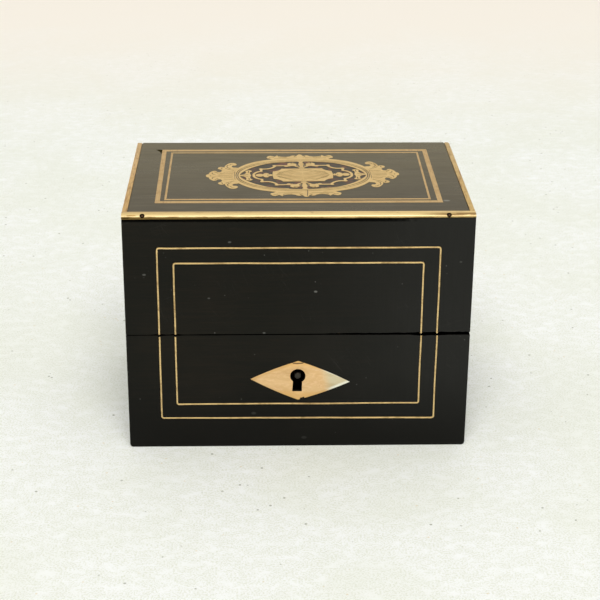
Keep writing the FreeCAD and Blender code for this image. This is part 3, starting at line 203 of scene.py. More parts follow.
class Recipe:
    """The nodes of one material or world, written from Python expressions."""

    def __init__(self, name: str, pool: Any = None) -> None:
        """Start one without nodes.

        Args:
            name: the finish, in plain words.
            pool: where it is kept, if not with the materials.
        """
        self.owner = (bpy.data.materials if pool is None else pool).new(name)
        self.owner.use_nodes = True
        self.tree = self.owner.node_tree
        self.tree.nodes.clear()

    def node(
        self,
        kind: str,
        settings: Optional[dict[str, Any]] = None,
        inputs: Optional[dict[Union[str, int], Any]] = None,
        output: Union[str, int] = 0,
    ) -> Flow:
        """Add a node.

        Args:
            kind: Blender's name of the node type.
            settings: properties, which are set first.
            inputs: a value or a link for each socket.
            output: which output is wanted.

        Returns:
            That output.
        """
        made = self.tree.nodes.new(kind)
        for name, value in (settings or {}).items():
            setattr(made, name, value)
        for key, value in (inputs or {}).items():
            if isinstance(value, Flow):
                self.tree.links.new(value.socket, made.inputs[key])
            else:
                made.inputs[key].default_value = value
        return Flow(self, made.outputs[output])

    def math(self, operation: str, first: Number, second: Number = 0.0) -> Flow:
        """One Math node."""
        return self.node("ShaderNodeMath", {"operation": operation}, {0: first, 1: second})

    def place(self) -> Flow:
        """Object coordinates in millimetres."""
        spot = self.node("ShaderNodeTexCoord", output="Object")
        return self.stretch(spot, (1000, 1000, 1000))

    def stretch(self, vector: Flow, factors: Colour) -> Flow:
        """A vector times a factor along each axis."""
        return self.node("ShaderNodeVectorMath", {"operation": "MULTIPLY"}, {0: vector, 1: factors})

    def split(self, vector: Flow) -> tuple[Flow, Flow, Flow]:
        """The three coordinates of a vector."""
        parts = self.node("ShaderNodeSeparateXYZ", inputs={0: vector}).socket.node.outputs
        return Flow(self, parts[0]), Flow(self, parts[1]), Flow(self, parts[2])

    def noise(self, vector: Flow, scale: float, detail: float = 3, roughness: float = 0.5, warp: float = 0) -> Flow:
        """Fractal noise from 0 to 1; scale is in features per millimetre of the vector."""
        inputs = {"Vector": vector, "Scale": scale, "Detail": detail, "Roughness": roughness, "Distortion": warp}
        return self.node("ShaderNodeTexNoise", inputs=inputs)

    def cells(self, vector: Flow, scale: float) -> Flow:
        """Distance to scattered points."""
        return self.node("ShaderNodeTexVoronoi", inputs={"Vector": vector, "Scale": scale})

    def fade(self, value: Number, low: float, high: float, start: float = 0, end: float = 1) -> Flow:
        """A smooth step from start, below low, to end, above high."""
        inputs = {0: value, 1: low, 2: high, 3: start, 4: end}
        return self.node("ShaderNodeMapRange", {"interpolation_type": "SMOOTHSTEP"}, inputs)

    def mix(self, factor: Number, first: Union[Colour, Flow], second: Union[Colour, Flow]) -> Flow:
        """One colour turning into another."""
        inputs = {0: factor, 6: self._rgba(first), 7: self._rgba(second)}
        return self.node("ShaderNodeMix", {"data_type": "RGBA"}, inputs, output=2)

    @staticmethod
    def _rgba(colour: Union[Colour, Flow]) -> Any:
        """A colour with its fourth number, or a link as it is."""
        return colour if isinstance(colour, Flow) else (*colour, 1)

    def bump(self, height: Flow, depth_mm: float, strength: float = 1.0) -> Flow:
        """A normal from a height of 0 to 1, where 1 is as many millimetres deep as said."""
        inputs = {"Strength": strength, "Distance": depth_mm * MM, "Height": height}
        return self.node("ShaderNodeBump", inputs=inputs, output="Normal")

    def surface(self, painted_shade: Optional[Flow] = None, **sockets: Any) -> Material:
        """End the recipe with one surface shader.

        Args:
            painted_shade: where the surface is painted dead black as shade instead, if anywhere.
            sockets: the shader's sockets, with underscores for spaces.

        Returns:
            The finished material.
        """
        inputs = {name.replace("_", " "): value for name, value in sockets.items()}
        shader = self.node("ShaderNodeBsdfPrincipled", inputs=inputs)
        # Painted shade: a near-black diffuse where the mask asks for it.
        if painted_shade is not None:
            black = self.node("ShaderNodeBsdfDiffuse", inputs={"Color": (0.0005, 0.0005, 0.0004, 1.0)})
            shader = self.node("ShaderNodeMixShader", inputs={0: painted_shade, 1: shader, 2: black})
        self.end("ShaderNodeOutputMaterial", shader)
        return self.owner

    def end(self, kind: str, shader: Flow) -> None:
        """Link a shader to an output node of a kind."""
        self.tree.links.new(shader.socket, self.tree.nodes.new(kind).inputs["Surface"])


# Finishes


@dataclass(frozen=True)
class EbonisedWood:
    """Black-stained, French-polished wood with fine grain, hair scratches and dust; a painted sheen makes it paler
    towards one end, and painted shade darkens it where asked.
    """

    name: str
    black: Colour = (0.0044, 0.0044, 0.0026)
    brown: Colour = (0.0095, 0.0072, 0.0040)
    # pale, pale_along, pale_from, pale_to: painted sheen, paler towards one end along an axis.
    pale: Colour = (0.0135, 0.0136, 0.0120)
    pale_along: Axis = Axis.X
    pale_from: float = -20.0
    pale_to: float = 75.0
    bare: Colour = (0.045, 0.026, 0.014)
    along: Axis = Axis.X
    roughness: float = 0.36
    polish: float = 0.13
    grain: float = 1.0
    streak: float = 0.0
    dust: float = 0.30
    # foot: strength of painted shade, darker towards the bottom.
    foot: float = 0.0
    # seam: whether the seam, the space behind the band and a line below it get dead black painted shade.
    seam: bool = False
    marks: tuple[Mark, ...] = ()

    def make(self) -> Material:
        """Write the material.

        Returns:
            The finished material.
        """
        r = Recipe(self.name)
        spot = r.place()
        x, y, z = r.split(spot)
        grain = r.noise(r.stretch(spot, self.along.drawn(0.035, 0.9)), 1.6, 5, 0.62, 0.4)
        pores = r.noise(r.stretch(spot, self.along.drawn(0.09, 2.6)), 2.4, 2, 0.5)
        cloud = r.noise(spot, 0.035, 3, 0.55)
        stain = r.fade(grain, 0.40, 0.72) * 0.6 * self.grain + r.fade(cloud, 0.4, 0.75) * 0.4
        colour = r.mix(stain, self.black, self.brown)
        # Painted sheen: paler towards one end, standing in for reflected light (towards the right on the front).
        across = (x, y, z)[self.pale_along.value]
        haze_and_sheen = r.fade(across + (cloud - 0.5) * 30, self.pale_from, self.pale_to)
        brushed = r.noise(r.stretch(spot, (1.4, 1.4, 0.05)), 1.0, 3, 0.6)
        colour = r.mix(haze_and_sheen * (0.75 + brushed * 0.5), colour, self.pale)
        if self.streak:
            planed = r.noise(r.stretch(spot, (0.06, 1.0, 1.0)), 0.9, 5, 0.68)
            colour = r.mix(r.fade(planed, 0.40, 0.49, 1, 0) * self.streak, colour, self.black)
            colour = r.mix(r.fade(planed, 0.53, 0.64) * self.streak, colour, (0.072, 0.060, 0.035))
        nick = r.noise(spot, 0.55, 4, 0.65)
        colour = r.mix(self._edge(r, x, y, z) * r.fade(nick, 0.5, 0.68) * 0.6, colour, self.bare)
        scratch = self._scratches(r, spot)
        colour = r.mix(scratch * 0.04, colour, (0.30, 0.28, 0.25))
        colour = r.mix(self._specks(r, spot) * self.dust, colour, (0.42, 0.41, 0.38))
        for mark in self.marks:
            colour = self._mark(r, x, y, z, nick, colour, mark)
        smear = r.noise(r.stretch(spot, (0.03, 0.05, 0.05)), 1.0, 4, 0.6, 0.8)
        roughness = self.roughness + (smear - 0.5) * 0.22 + scratch * 0.10 + (pores - 0.5) * 0.08
        painted_shade: Optional[Flow] = None
        # Painted shade: darker towards the bottom, where the front mirrors the floor in the box's shadow.
        if self.foot:
            low = r.fade(z + (cloud - 0.5) * 25, 2.0, 42.0, 1, 0)
            colour = r.mix(low * self.foot, colour, (0.0018, 0.0016, 0.0010))
        # Painted shade in the seam and behind the band, and a painted shadow line below the band.
        if self.seam:
            painted_shade = self._seam_shade(r, x, y, z, nick - 0.5)
        relief = pores * 0.55 + grain * 0.45 - scratch * 0.3
        return r.surface(
            painted_shade=painted_shade, Base_Color=colour, Roughness=roughness, Specular_IOR_Level=self.polish,
            Normal=r.bump(relief, 0.035, 0.35)
        )

    @staticmethod
    def _seam_shade(r: Recipe, x: Flow, y: Flow, z: Flow, ragged: Flow) -> Flow:
        """Painted shade: dead black inside the seam and behind the band, and a ragged painted shadow line below the
        band.

        Args:
            r: the recipe.
            x: place across the box, in millimetres.
            y: place from front to back.
            z: height.
            ragged: noise round 0 that breaks the line below the band.

        Returns:
            How much of the surface it covers.
        """
        inside = r.fade(y, -47.42, -47.3) * r.fade(y, -43.4, -43.2, 1, 0)
        painted_shade = inside * (r.fade(abs(z - 51.15), 1.5, 2.0, 1, 0) + r.fade(z, 100.5, 100.6))
        below = r.fade(z + ragged * 0.8, 99.6, 100.3) * r.fade(x + ragged * 40, 36.0, 52.0, 1, 0)
        return painted_shade + below * r.fade(y, -47.42, -47.3, 1, 0) * 0.85

    @staticmethod
    def _edge(r: Recipe, x: Flow, y: Flow, z: Flow) -> Flow:
        """The outer arrises of the box: 1 on the arris, 0 a millimetre inside it."""
        a, b, c = r.fade(abs(x), 69.3, 69.95), r.fade(abs(y), 46.8, 47.45), r.fade(abs(z - 51.5), 50.9, 51.45)
        return r.math("MINIMUM", a * b + b * c + a * c, 1.0)

    @staticmethod
    def _scratches(r: Recipe, spot: Flow) -> Flow:
        """Hair-thin scratches in three directions.

        Args:
            r: the recipe.
            spot: the place in millimetres.

        Returns:
            How strong a scratch is there.
        """
        lines: Number = 0.0
        for turn, scale, seed in ((0.35, 0.16, 0.0), (-0.9, 0.12, 31.0), (1.9, 0.2, 77.0)):
            settings = {"rotation_type": "Y_AXIS"}
            turned = r.node("ShaderNodeVectorRotate", settings, {"Vector": spot, "Angle": turn})
            drawn = r.stretch(turned, (0.02, 0.4, 1.0))
            moved = r.node("ShaderNodeVectorMath", {"operation": "ADD"}, {0: drawn, 1: (seed, 0, seed)})
            lines = r.fade(abs(r.noise(moved, scale * 6, 1, 0.3) - 0.5), 0.0015, 0.006, 1, 0) * 0.6 + lines
        return lines * r.fade(r.noise(spot, 0.05, 2), 0.52, 0.66)

    @staticmethod
    def _specks(r: Recipe, spot: Flow) -> Flow:
        """Sparse grains of dust."""
        size = r.noise(spot, 0.11, 2)
        return r.fade(r.cells(spot, 0.34), 0.06, 0.10, 1, 0) * r.fade(size, 0.56, 0.7)

    @staticmethod
    def _mark(r: Recipe, x: Flow, y: Flow, z: Flow, ragged: Flow, colour: Flow, mark: Mark) -> Flow:
        """A pale nick or smear.

        Args:
            r: the recipe.
            x: place across the box.
            y: place from front to back.
            z: height.
            ragged: noise that breaks its outline.
            colour: the colour so far.
            mark: its middle across and up (or back, on the lid), half size and strength.

        Returns:
            The colour with the mark on it.
        """
        across, up, half, strength = mark
        side, rise, area = x - across, (y if up < 0 else z) - up, half * half
        away = side * side * 0.35 + rise * rise + (ragged - 0.5) * area
        return r.mix(r.fade(away, area * 0.3, area, 1, 0) * strength, colour, (0.33, 0.33, 0.30))


@dataclass(frozen=True)
class OldBrass:
    """Rubbed brass with brown tarnish; engraved pieces hold black wax in their cuts; low parts can be painted
    near-black as shade.
    """

    name: str
    bright: Colour = (0.70, 0.52, 0.26)
    dull: Colour = (0.40, 0.26, 0.11)
    streak: Colour = (0.36, 0.21, 0.12)
    roughness: float = 0.34
    tarnish: float = 0.5
    streaks: float = 0.35
    along: Axis = Axis.X
    framed: bool = False
    wax_level: Optional[float] = None
    # Height under which the brass is painted near-black as shade, if anywhere.
    shade_below: Optional[float] = None
    scale: float = 1.0

    def make(self) -> Material:
        """Write the material.

        Returns:
            The finished material.
        """
        r = Recipe(self.name)
        spot = r.place()
        x, _, z = r.split(spot)
        rub = self._drawn(r, spot, self.along)
        if self.framed:
            side = r.fade(abs(x), 49.0, 51.0)
            rub = rub * (1.0 - side) + self._drawn(r, spot, Axis.Y) * side
        patch = r.noise(spot, 0.22 * self.scale, 5, 0.62, 0.6)
        spots = r.fade(r.noise(spot, 1.3 * self.scale, 3, 0.6), 0.62, 0.76)
        age = (r.fade(patch, 0.42, 0.72) * 0.75 + spots * 0.45 + (rub - 0.5) * 0.5) * self.tarnish
        colour = r.mix(r.math("MINIMUM", r.math("MAXIMUM", age, 0.0), 1.0), self.bright, self.dull)
        colour = r.mix(r.fade(rub, 0.53, 0.66) * self.streaks, colour, self.streak)
        roughness = self.roughness + (patch - 0.5) * 0.25 + spots * 0.15
        metal: Number = 1.0
        if self.wax_level is not None:
            wax = r.fade(z, self.wax_level - 0.045, self.wax_level - 0.012, 1, 0)
            colour = r.mix(wax * 0.9, colour, (0.035, 0.022, 0.012))
            metal = 1.0 - wax * 0.8
        # Painted shade: near-black below the given height, where the lock lies in the dark behind the keyhole.
        if self.shade_below is not None:
            colour = r.mix(r.fade(z, self.shade_below - 2, self.shade_below, 1, 0), colour, (0.0025, 0.002, 0.0015))
        relief = rub * 0.6 + patch * 0.4
        return r.surface(Base_Color=colour, Metallic=metal, Roughness=roughness, Normal=r.bump(relief, 0.03, 0.3))

    def _drawn(self, r: Recipe, spot: Flow, along: Axis) -> Flow:
        """Noise drawn out along one axis, as rubbing leaves it."""
        return r.noise(r.stretch(spot, along.drawn(0.06, 1.1)), 2.2 * self.scale, 3, 0.6)


@dataclass(frozen=True)
class BandBrass:
    """The front band: a painted highlight along its round edge and top arris, partly rubbed wear, and painted shade
    on its lower part.
    """

    name: str
    bright: Colour = (0.84, 0.65, 0.32)
    # pale and rubbed: colours of painted highlights on the round edge and the top arris, partly rubbed wear.
    pale: Colour = (0.92, 0.74, 0.42)
    rubbed: Colour = (0.98, 0.86, 0.50)
    # foot and foot_level: painted shade, darker on the lower part of the band.
    foot: Colour = (0.155, 0.098, 0.028)
    soil: Colour = (0.28, 0.165, 0.07)
    crown: float = 102.45
    foot_level: float = 102.25
    pins: Pair = (-61.75, 59.3)

    def make(self) -> Material:
        """Write the material.

        Returns:
            The finished material.
        """
        r = Recipe(self.name)
        spot = r.place()
        x, y, z = r.split(spot)
        rub = r.noise(r.stretch(spot, (0.05, 1.3, 1.3)), 2.0, 4, 0.6)
        blot = r.noise(r.stretch(spot, (0.35, 1.0, 1.0)), 0.5, 4, 0.62, 0.6)
        left = r.fade(x, -66.0, -40.0, 1, 0)
        right = r.fade(x, 44.0, 62.0)
        # Painted shade: the lower part of the band is darkened where it faces the floor in front.
        level = z + (blot - 0.5) * 1.1 + (rub - 0.5) * 0.4 + r.fade(x, -20.0, 25.0) * 0.28
        low = r.fade(level, self.foot_level - 0.60, self.foot_level + 0.10, 1, 0)
        # Painted highlight along the round edge, partly rubbed wear.
        crown_highlight = r.fade(abs(z - self.crown + (rub - 0.5) * 0.25), 0.12, 0.55, 1, 0)
        colour = r.mix(r.fade(blot, 0.5, 0.72) * 0.45, self.bright, self.soil)
        behind = r.fade(y, -45.9, -45.2) * (1.0 - right) * r.fade(x, -30.0, 10.0, 1, 0)
        colour = r.mix(behind * 0.30, colour, self.soil)
        # Painted highlight on the top arris, paler along the front edge of the flat top.
        edge = r.fade(y + (rub - 0.5) * 0.5, -46.7, -45.9, 1, 0) * r.fade(z, 102.5, 102.8)
        colour = r.mix(edge * (1.0 - right) * (1.0 - left * 0.6) * 0.9, colour, self.rubbed)
        colour = r.mix(crown_highlight * (0.95 - left * 0.2 - right * 0.5), colour, self.pale)
        end = right * r.fade(abs(y + 46.6 + (rub - 0.5) * 1.4), 0.45, 0.95, 1, 0) * r.fade(blot, 0.34, 0.46)
        colour = r.mix(end * 0.80, colour, self.soil)
        colour = r.mix(low * 0.95, colour, self.foot)
        # Painted shade: near-black round each pin, in the gap between pin and drilled hole.
        across = (y + z - 55.5) * (y + z - 55.5) * 0.5
        for place in self.pins:
            near = (x - place) * (x - place) + across
            colour = r.mix(r.fade(near, 0.80, 1.25, 1, 0) * 0.95, colour, (0.012, 0.009, 0.006))
        roughness = 0.30 + low * 0.15 + (rub - 0.5) * 0.2
        relief = rub * 0.6 + blot * 0.4
        return r.surface(Base_Color=colour, Metallic=1.0, Roughness=roughness, Normal=r.bump(relief, 0.03, 0.35))


@dataclass(frozen=True)
class Steel:
    """Filed steel gone grey."""

    name: str
    colour: Colour = (0.36, 0.35, 0.33)
    roughness: float = 0.38

    def make(self) -> Material:
        """Write the material.

        Returns:
            The finished material.
        """
        r = Recipe(self.name)
        spot = r.place()
        file_marks = r.noise(r.stretch(spot, (6, 1, 1)), 2.0, 2)
        rust = r.fade(r.noise(spot, 0.9, 4, 0.65), 0.55, 0.75)
        colour = r.mix(rust * 0.6, self.colour, (0.10, 0.055, 0.03))
        roughness = self.roughness + rust * 0.3 + (file_marks - 0.5) * 0.2
        return r.surface(
            Base_Color=colour, Metallic=1.0 - rust * 0.5, Roughness=roughness,
            Normal=r.bump(file_marks, 0.01, 0.4)
        )


@dataclass(frozen=True)
class DarkShell:
    """Tortoiseshell over red foil: dark, with dull red flames where it is thin."""

    name: str

    def make(self) -> Material:
        """Write the material.

        Returns:
            The finished material.
        """
        r = Recipe(self.name)
        spot = r.place()
        flame = r.noise(r.stretch(spot, (0.16, 0.34, 0.3)), 1.0, 4, 0.6, 1.4)
        spark = r.noise(spot, 0.9, 3, 0.6, 0.6)
        heat = r.fade(flame, 0.50, 0.66)
        colour = r.mix(heat, (0.014, 0.012, 0.008), (0.115, 0.030, 0.016))
        colour = r.mix(heat * r.fade(spark, 0.5, 0.75), colour, (0.26, 0.080, 0.040))
        roughness = 0.26 + spark * 0.2
        return r.surface(
            Base_Color=colour, Roughness=roughness, Specular_IOR_Level=0.22, Normal=r.bump(spark, 0.02, 0.3)
        )


@dataclass(frozen=True)
class PaleShell:
    """Polished shell, orange-cream, with a separate green-white slip at the right tip."""

    name: str

    def make(self) -> Material:
        """Write the material.

        Returns:
            The finished material.
        """
        r = Recipe(self.name)
        spot = r.place()
        x, y, z = r.split(spot)
        layers = r.noise(r.stretch(spot, (0.10, 0.5, 0.35)), 1.0, 4, 0.55, 1.2)
        glint = r.noise(r.stretch(spot, (0.4, 1.0, 1.3)), 1.0, 3, 0.6, 1.0)
        cream = r.mix(r.fade(layers, 0.35, 0.65), (0.65, 0.405, 0.170), (0.73, 0.480, 0.225))
        cream = r.mix(r.fade(glint, 0.45, 0.75) * 0.45, cream, (0.86, 0.60, 0.36))
        tip = r.mix(r.fade(layers, 0.4, 0.7), (0.48, 0.42, 0.25), (0.60, 0.54, 0.35))
        slip = r.fade(x + (z - 29.0) * 0.24 + (glint - 0.5) * 1.8, 9.6, 14.6)
        colour = r.mix(slip * (0.60 + layers * 0.4), cream, tip)
        corner = r.fade(x, -19.6, -15.0, 1, 0) * r.fade(glint, 0.35, 0.6)
        colour = r.mix(corner * 0.45, colour, (0.50, 0.30, 0.10))
        slope = abs(x - 0.8) * 0.435 + abs(z - 30.4)
        rim = r.fade(slope + (glint - 0.5) * 0.5, 8.1, 9.0)
        colour = r.mix(rim * (1.0 - slip) * 0.5, colour, (0.62, 0.36, 0.12))
        colour = r.mix(rim * slip * 0.8, colour, (0.86, 0.86, 0.72))
        warm = r.fade(z + (layers - 0.5) * 3, 34.5, 38.5) + r.fade(z + (layers - 0.5) * 3, 24.0, 26.5, 1, 0)
        colour = r.mix(r.math("MINIMUM", warm, 1.0) * 0.65, colour, (0.72, 0.42, 0.13))
        bow = abs(z - 38.05 - x * x * 0.02 + (glint - 0.5) * 0.4)
        crack = r.fade(bow, 0.10, 0.30, 1, 0) * r.fade(abs(x + 0.2), 1.6, 2.6, 1, 0)
        colour = r.mix(crack * 0.85, colour, (0.16, 0.085, 0.03))
        # Painted shade: the keyhole walls inside the lozenge are near-black.
        colour = r.mix(r.fade(y, -47.44, -47.34), colour, (0.006, 0.005, 0.004))
        return r.surface(
            Base_Color=colour, Roughness=0.26 + glint * 0.2, Specular_IOR_Level=0.35,
            Normal=r.bump(layers, 0.04, 0.3)
        )


@dataclass(frozen=True)
class Velvet:
    """Cut silk velvet glued on card."""

    name: str
    deep: Colour = (0.10, 0.006, 0.014)
    high: Colour = (0.27, 0.02, 0.045)

    def make(self) -> Material:
        """Write the material.

        Returns:
            The finished material.
        """
        r = Recipe(self.name)
        spot = r.place()
        pile = r.noise(spot, 5.5, 2, 0.6)
        brushed = r.noise(spot, 0.09, 4, 0.6, 0.7)
        nap = r.fade(brushed, 0.38, 0.68)
        colour = r.mix(nap * 0.6 + (pile - 0.5) * 0.7, self.deep, self.high)
        return r.surface(
            Base_Color=colour, Roughness=0.92 - nap * 0.1, Specular_IOR_Level=0.15, Sheen_Weight=0.6,
            Sheen_Roughness=0.35, Sheen_Tint=(0.85, 0.35, 0.42, 1), Normal=r.bump(pile, 0.12, 0.6)
        )


@dataclass(frozen=True)
class QuiltedSilk:
    """Plain-woven silk with a soft shine."""

    name: str
    thread_mm: float = 0.22

    def make(self) -> Material:
        """Write the material.

        Returns:
            The finished material.
        """
        r = Recipe(self.name)
        spot = r.place()
        x, y, _ = r.split(spot)
        beat = 2 * math.pi / self.thread_mm
        warp = r.math("SINE", x * beat) * 0.5 + 0.5
        weft = r.math("SINE", y * beat) * 0.5 + 0.5
        slub = r.noise(r.stretch(spot, (0.05, 1.6, 1.0)), 1.0, 3, 0.6)
        weave = warp * 0.5 + weft * 0.5
        shade = weave * 0.35 + r.fade(slub, 0.4, 0.65) * 0.4
        faded = r.fade(r.noise(spot, 0.05, 3), 0.4, 0.7)
        colour = r.mix(shade, (0.24, 0.020, 0.036), (0.42, 0.055, 0.075))
        colour = r.mix(faded * 0.3, colour, (0.46, 0.13, 0.11))
        return r.surface(
            Base_Color=colour, Roughness=0.40 + (1.0 - weave) * 0.15, Specular_IOR_Level=0.5,
            Sheen_Weight=0.25, Sheen_Roughness=0.3, Normal=r.bump(weave, 0.03, 0.5)
        )


@dataclass(frozen=True)
class CutGlass:
    """Clear lead glass, polished, with faint hand-ground waves."""

    name: str
    tint: Colour = (0.96, 0.985, 0.975)

    def make(self) -> Material:
        """Write the material.

        Returns:
            The finished material.
        """
        r = Recipe(self.name)
        spot = r.place()
        wave = r.noise(spot, 0.16, 2, 0.5)
        haze_and_sheen = r.fade(r.noise(spot, 0.5, 4, 0.6), 0.55, 0.85)
        return r.surface(
            Base_Color=r.mix(haze_and_sheen * 0.25, self.tint, (0.86, 0.88, 0.86)), Roughness=0.015 + haze_and_sheen * 0.05,
            IOR=1.52, Transmission_Weight=1.0, Normal=r.bump(wave, 0.10, 0.25)
        )


@dataclass(frozen=True)
class StainedPine:
    """The unpolished underside: stained softwood with its growth lines."""

    name: str

    def make(self) -> Material:
        """Write the material.

        Returns:
            The finished material.
        """
        r = Recipe(self.name)
        spot = r.place()
        bent = r.noise(r.stretch(spot, (0.01, 0.06, 0.06)), 1.0, 3, 0.5, 0.4)
        _, y, z = r.split(spot)
        rings = r.math("SINE", (y * 0.9 + z * 1.5 + bent * 26) * 1.4) * 0.5 + 0.5
        fibre = r.noise(r.stretch(spot, (0.05, 2.2, 2.2)), 1.5, 4, 0.6)
        scuff = r.fade(r.noise(spot, 0.07, 5, 0.65), 0.5, 0.72)
        colour = r.mix(rings * 0.55 + fibre * 0.35, (0.17, 0.085, 0.042), (0.075, 0.034, 0.017))
        colour = r.mix(scuff * 0.4, colour, (0.22, 0.15, 0.10))
        return r.surface(
            Base_Color=colour, Roughness=0.62 + fibre * 0.2, Specular_IOR_Level=0.25,
            Normal=r.bump(fibre * 0.7 + rings * 0.3, 0.08, 0.5)
        )


@dataclass(frozen=True)
class PaleFloor:
    """White plaster floor, trowelled, with small dark grains; cream in the distance."""

    name: str

    def make(self) -> Material:
        """Write the material.

        Returns:
            The finished material.
        """
        r = Recipe(self.name)
        spot = r.place()
        _, y, _ = r.split(spot)
        blotch = r.noise(spot, 0.012, 5, 0.6, 0.4)
        trowel = r.noise(r.stretch(spot, (0.7, 1.0, 1.0)), 0.22, 6, 0.68, 0.5)
        sand = r.noise(spot, 1.3, 3, 0.7)
        near = r.mix(r.fade(blotch, 0.40, 0.62), (0.955, 0.965, 0.930), (0.905, 0.918, 0.845))
        near = r.mix(r.fade(trowel, 0.46, 0.62) * 0.30, near, (0.855, 0.870, 0.790))
        near = r.mix(r.fade(sand, 0.46, 0.58) * r.fade(trowel, 0.32, 0.52) * 0.75, near, (0.74, 0.755, 0.63))
        size = r.noise(spot, 0.06, 3, 0.6)
        dark = self._grains(r, spot, 0.13, 0.055) * r.fade(size, 0.44, 0.54)
        tan = self._grains(r, spot, 0.17, 0.060) * r.fade(size, 0.42, 0.50, 1, 0)
        near = r.mix(dark * 0.8, near, (0.30, 0.30, 0.21))
        near = r.mix(tan * 0.55, near, (0.72, 0.60, 0.36))
        colour = r.mix(r.fade(y + (blotch - 0.5) * 160, 330.0, 800.0), near, (0.945, 0.885, 0.785))
        return r.surface(
            Base_Color=colour, Roughness=0.75, Specular_IOR_Level=0.15,
            Normal=r.bump(trowel - sand * 0.4, 0.35, 0.3)
        )

    @staticmethod
    def _grains(r: Recipe, spot: Flow, scale: float, radius: float) -> Flow:
        """Round grains, one in each cell of a given fineness."""
        return r.fade(r.cells(spot, scale), radius, radius * 1.6, 1, 0)


class Finishes:
    """Every finish of the box, each made once."""

    def __init__(self) -> None:
        """Write all the materials."""
        # The front: painted sheen paler to the right, painted shade darker towards the bottom, dead black painted
        # shade in the seam and under the band.
        self.front = EbonisedWood("ebonised_front", foot=0.8, seam=True, marks=FRONT_MARKS).make()
        # The lid: colours lifted far above black as painted reflection of the bright backdrop at a low angle, grain
        # and streaks showing in it, paler towards the back as painted sheen.
        self.top = EbonisedWood(
            "ebonised_top", black=(0.022, 0.0165, 0.0060), brown=(0.034, 0.0250, 0.0100),
            pale=(0.060, 0.0480, 0.0170), pale_along=Axis.Y, pale_from=-45.0, pale_to=50.0,
            roughness=0.30, polish=0.25, grain=2.2, streak=0.55, dust=0.12, marks=TOP_MARKS,
        ).make()
        # Sides and back keep the default painted sheen, paler towards the right.
        self.side = EbonisedWood("ebonised_side", along=Axis.Y).make()
        self.back = EbonisedWood("ebonised_back").make()
        self.underside = StainedPine("stained_underside").make()
        self.string = OldBrass(
            "brass_wire", bright=(0.82, 0.60, 0.29), dull=(0.36, 0.24, 0.11), roughness=0.4, tarnish=0.9, scale=0.9
        ).make()
        self.strip = OldBrass(
            "brass_strip", bright=(0.63, 0.455, 0.235), dull=(0.47, 0.32, 0.155), roughness=0.42, tarnish=0.6,
            streaks=0.5, framed=True,
        ).make()
        self.band = BandBrass("brass_band").make()
        self.left_band = OldBrass(
            "brass_left_band", bright=(0.70, 0.495, 0.245), roughness=0.42, tarnish=0.6, streaks=0.8, along=Axis.Y
        ).make()
        self.right_band = OldBrass(
            "brass_right_band", bright=(0.68, 0.51, 0.25), roughness=0.44, tarnish=0.7, streaks=0.8, along=Axis.Y
        ).make()
        self.engraved = OldBrass(
            "engraved_brass", bright=(0.76, 0.565, 0.265), dull=(0.53, 0.365, 0.155), roughness=0.36, tarnish=0.55,
            streaks=0.15, wax_level=103.0,
        ).make()
        self.hinge = OldBrass("hinge_brass", bright=(0.60, 0.41, 0.17), tarnish=0.7).make()
        self.lock = OldBrass("lock_brass", bright=(0.58, 0.40, 0.17), tarnish=0.8).make()
        # The lock case and cap are painted near-black low down, as shade behind the keyhole.
        self.lock_inside = OldBrass(
            "lock_brass_painted_shade", bright=(0.58, 0.40, 0.17), roughness=0.7, tarnish=0.8, shade_below=47.0
        ).make()
        self.steel = Steel("grey_steel").make()
        # The key pin's near-black colour is painted shade: it sits deep inside the keyhole.
        self.key_pin = Steel("key_pin_steel", colour=(0.060, 0.058, 0.052), roughness=0.55).make()
        self.screw = Steel("screw_steel", colour=(0.27, 0.25, 0.23)).make()
        self.pin = OldBrass(
            "pin_metal", bright=(0.13, 0.075, 0.045), dull=(0.05, 0.030, 0.018), streak=(0.05, 0.03, 0.02),
            roughness=0.5,
        ).make()
        self.dark_shell = DarkShell("dark_shell").make()
        self.pale_shell = PaleShell("pale_shell").make()
        self.velvet = Velvet("burgundy_velvet").make()
        self.silk = QuiltedSilk("burgundy_silk").make()
        self.glass = CutGlass("bottle_glass").make()
        self.stopper = CutGlass("stopper_glass").make()
        self.floor = PaleFloor("plaster_floor").make()


# Workbench: the hand tools that the sub-assemblies share


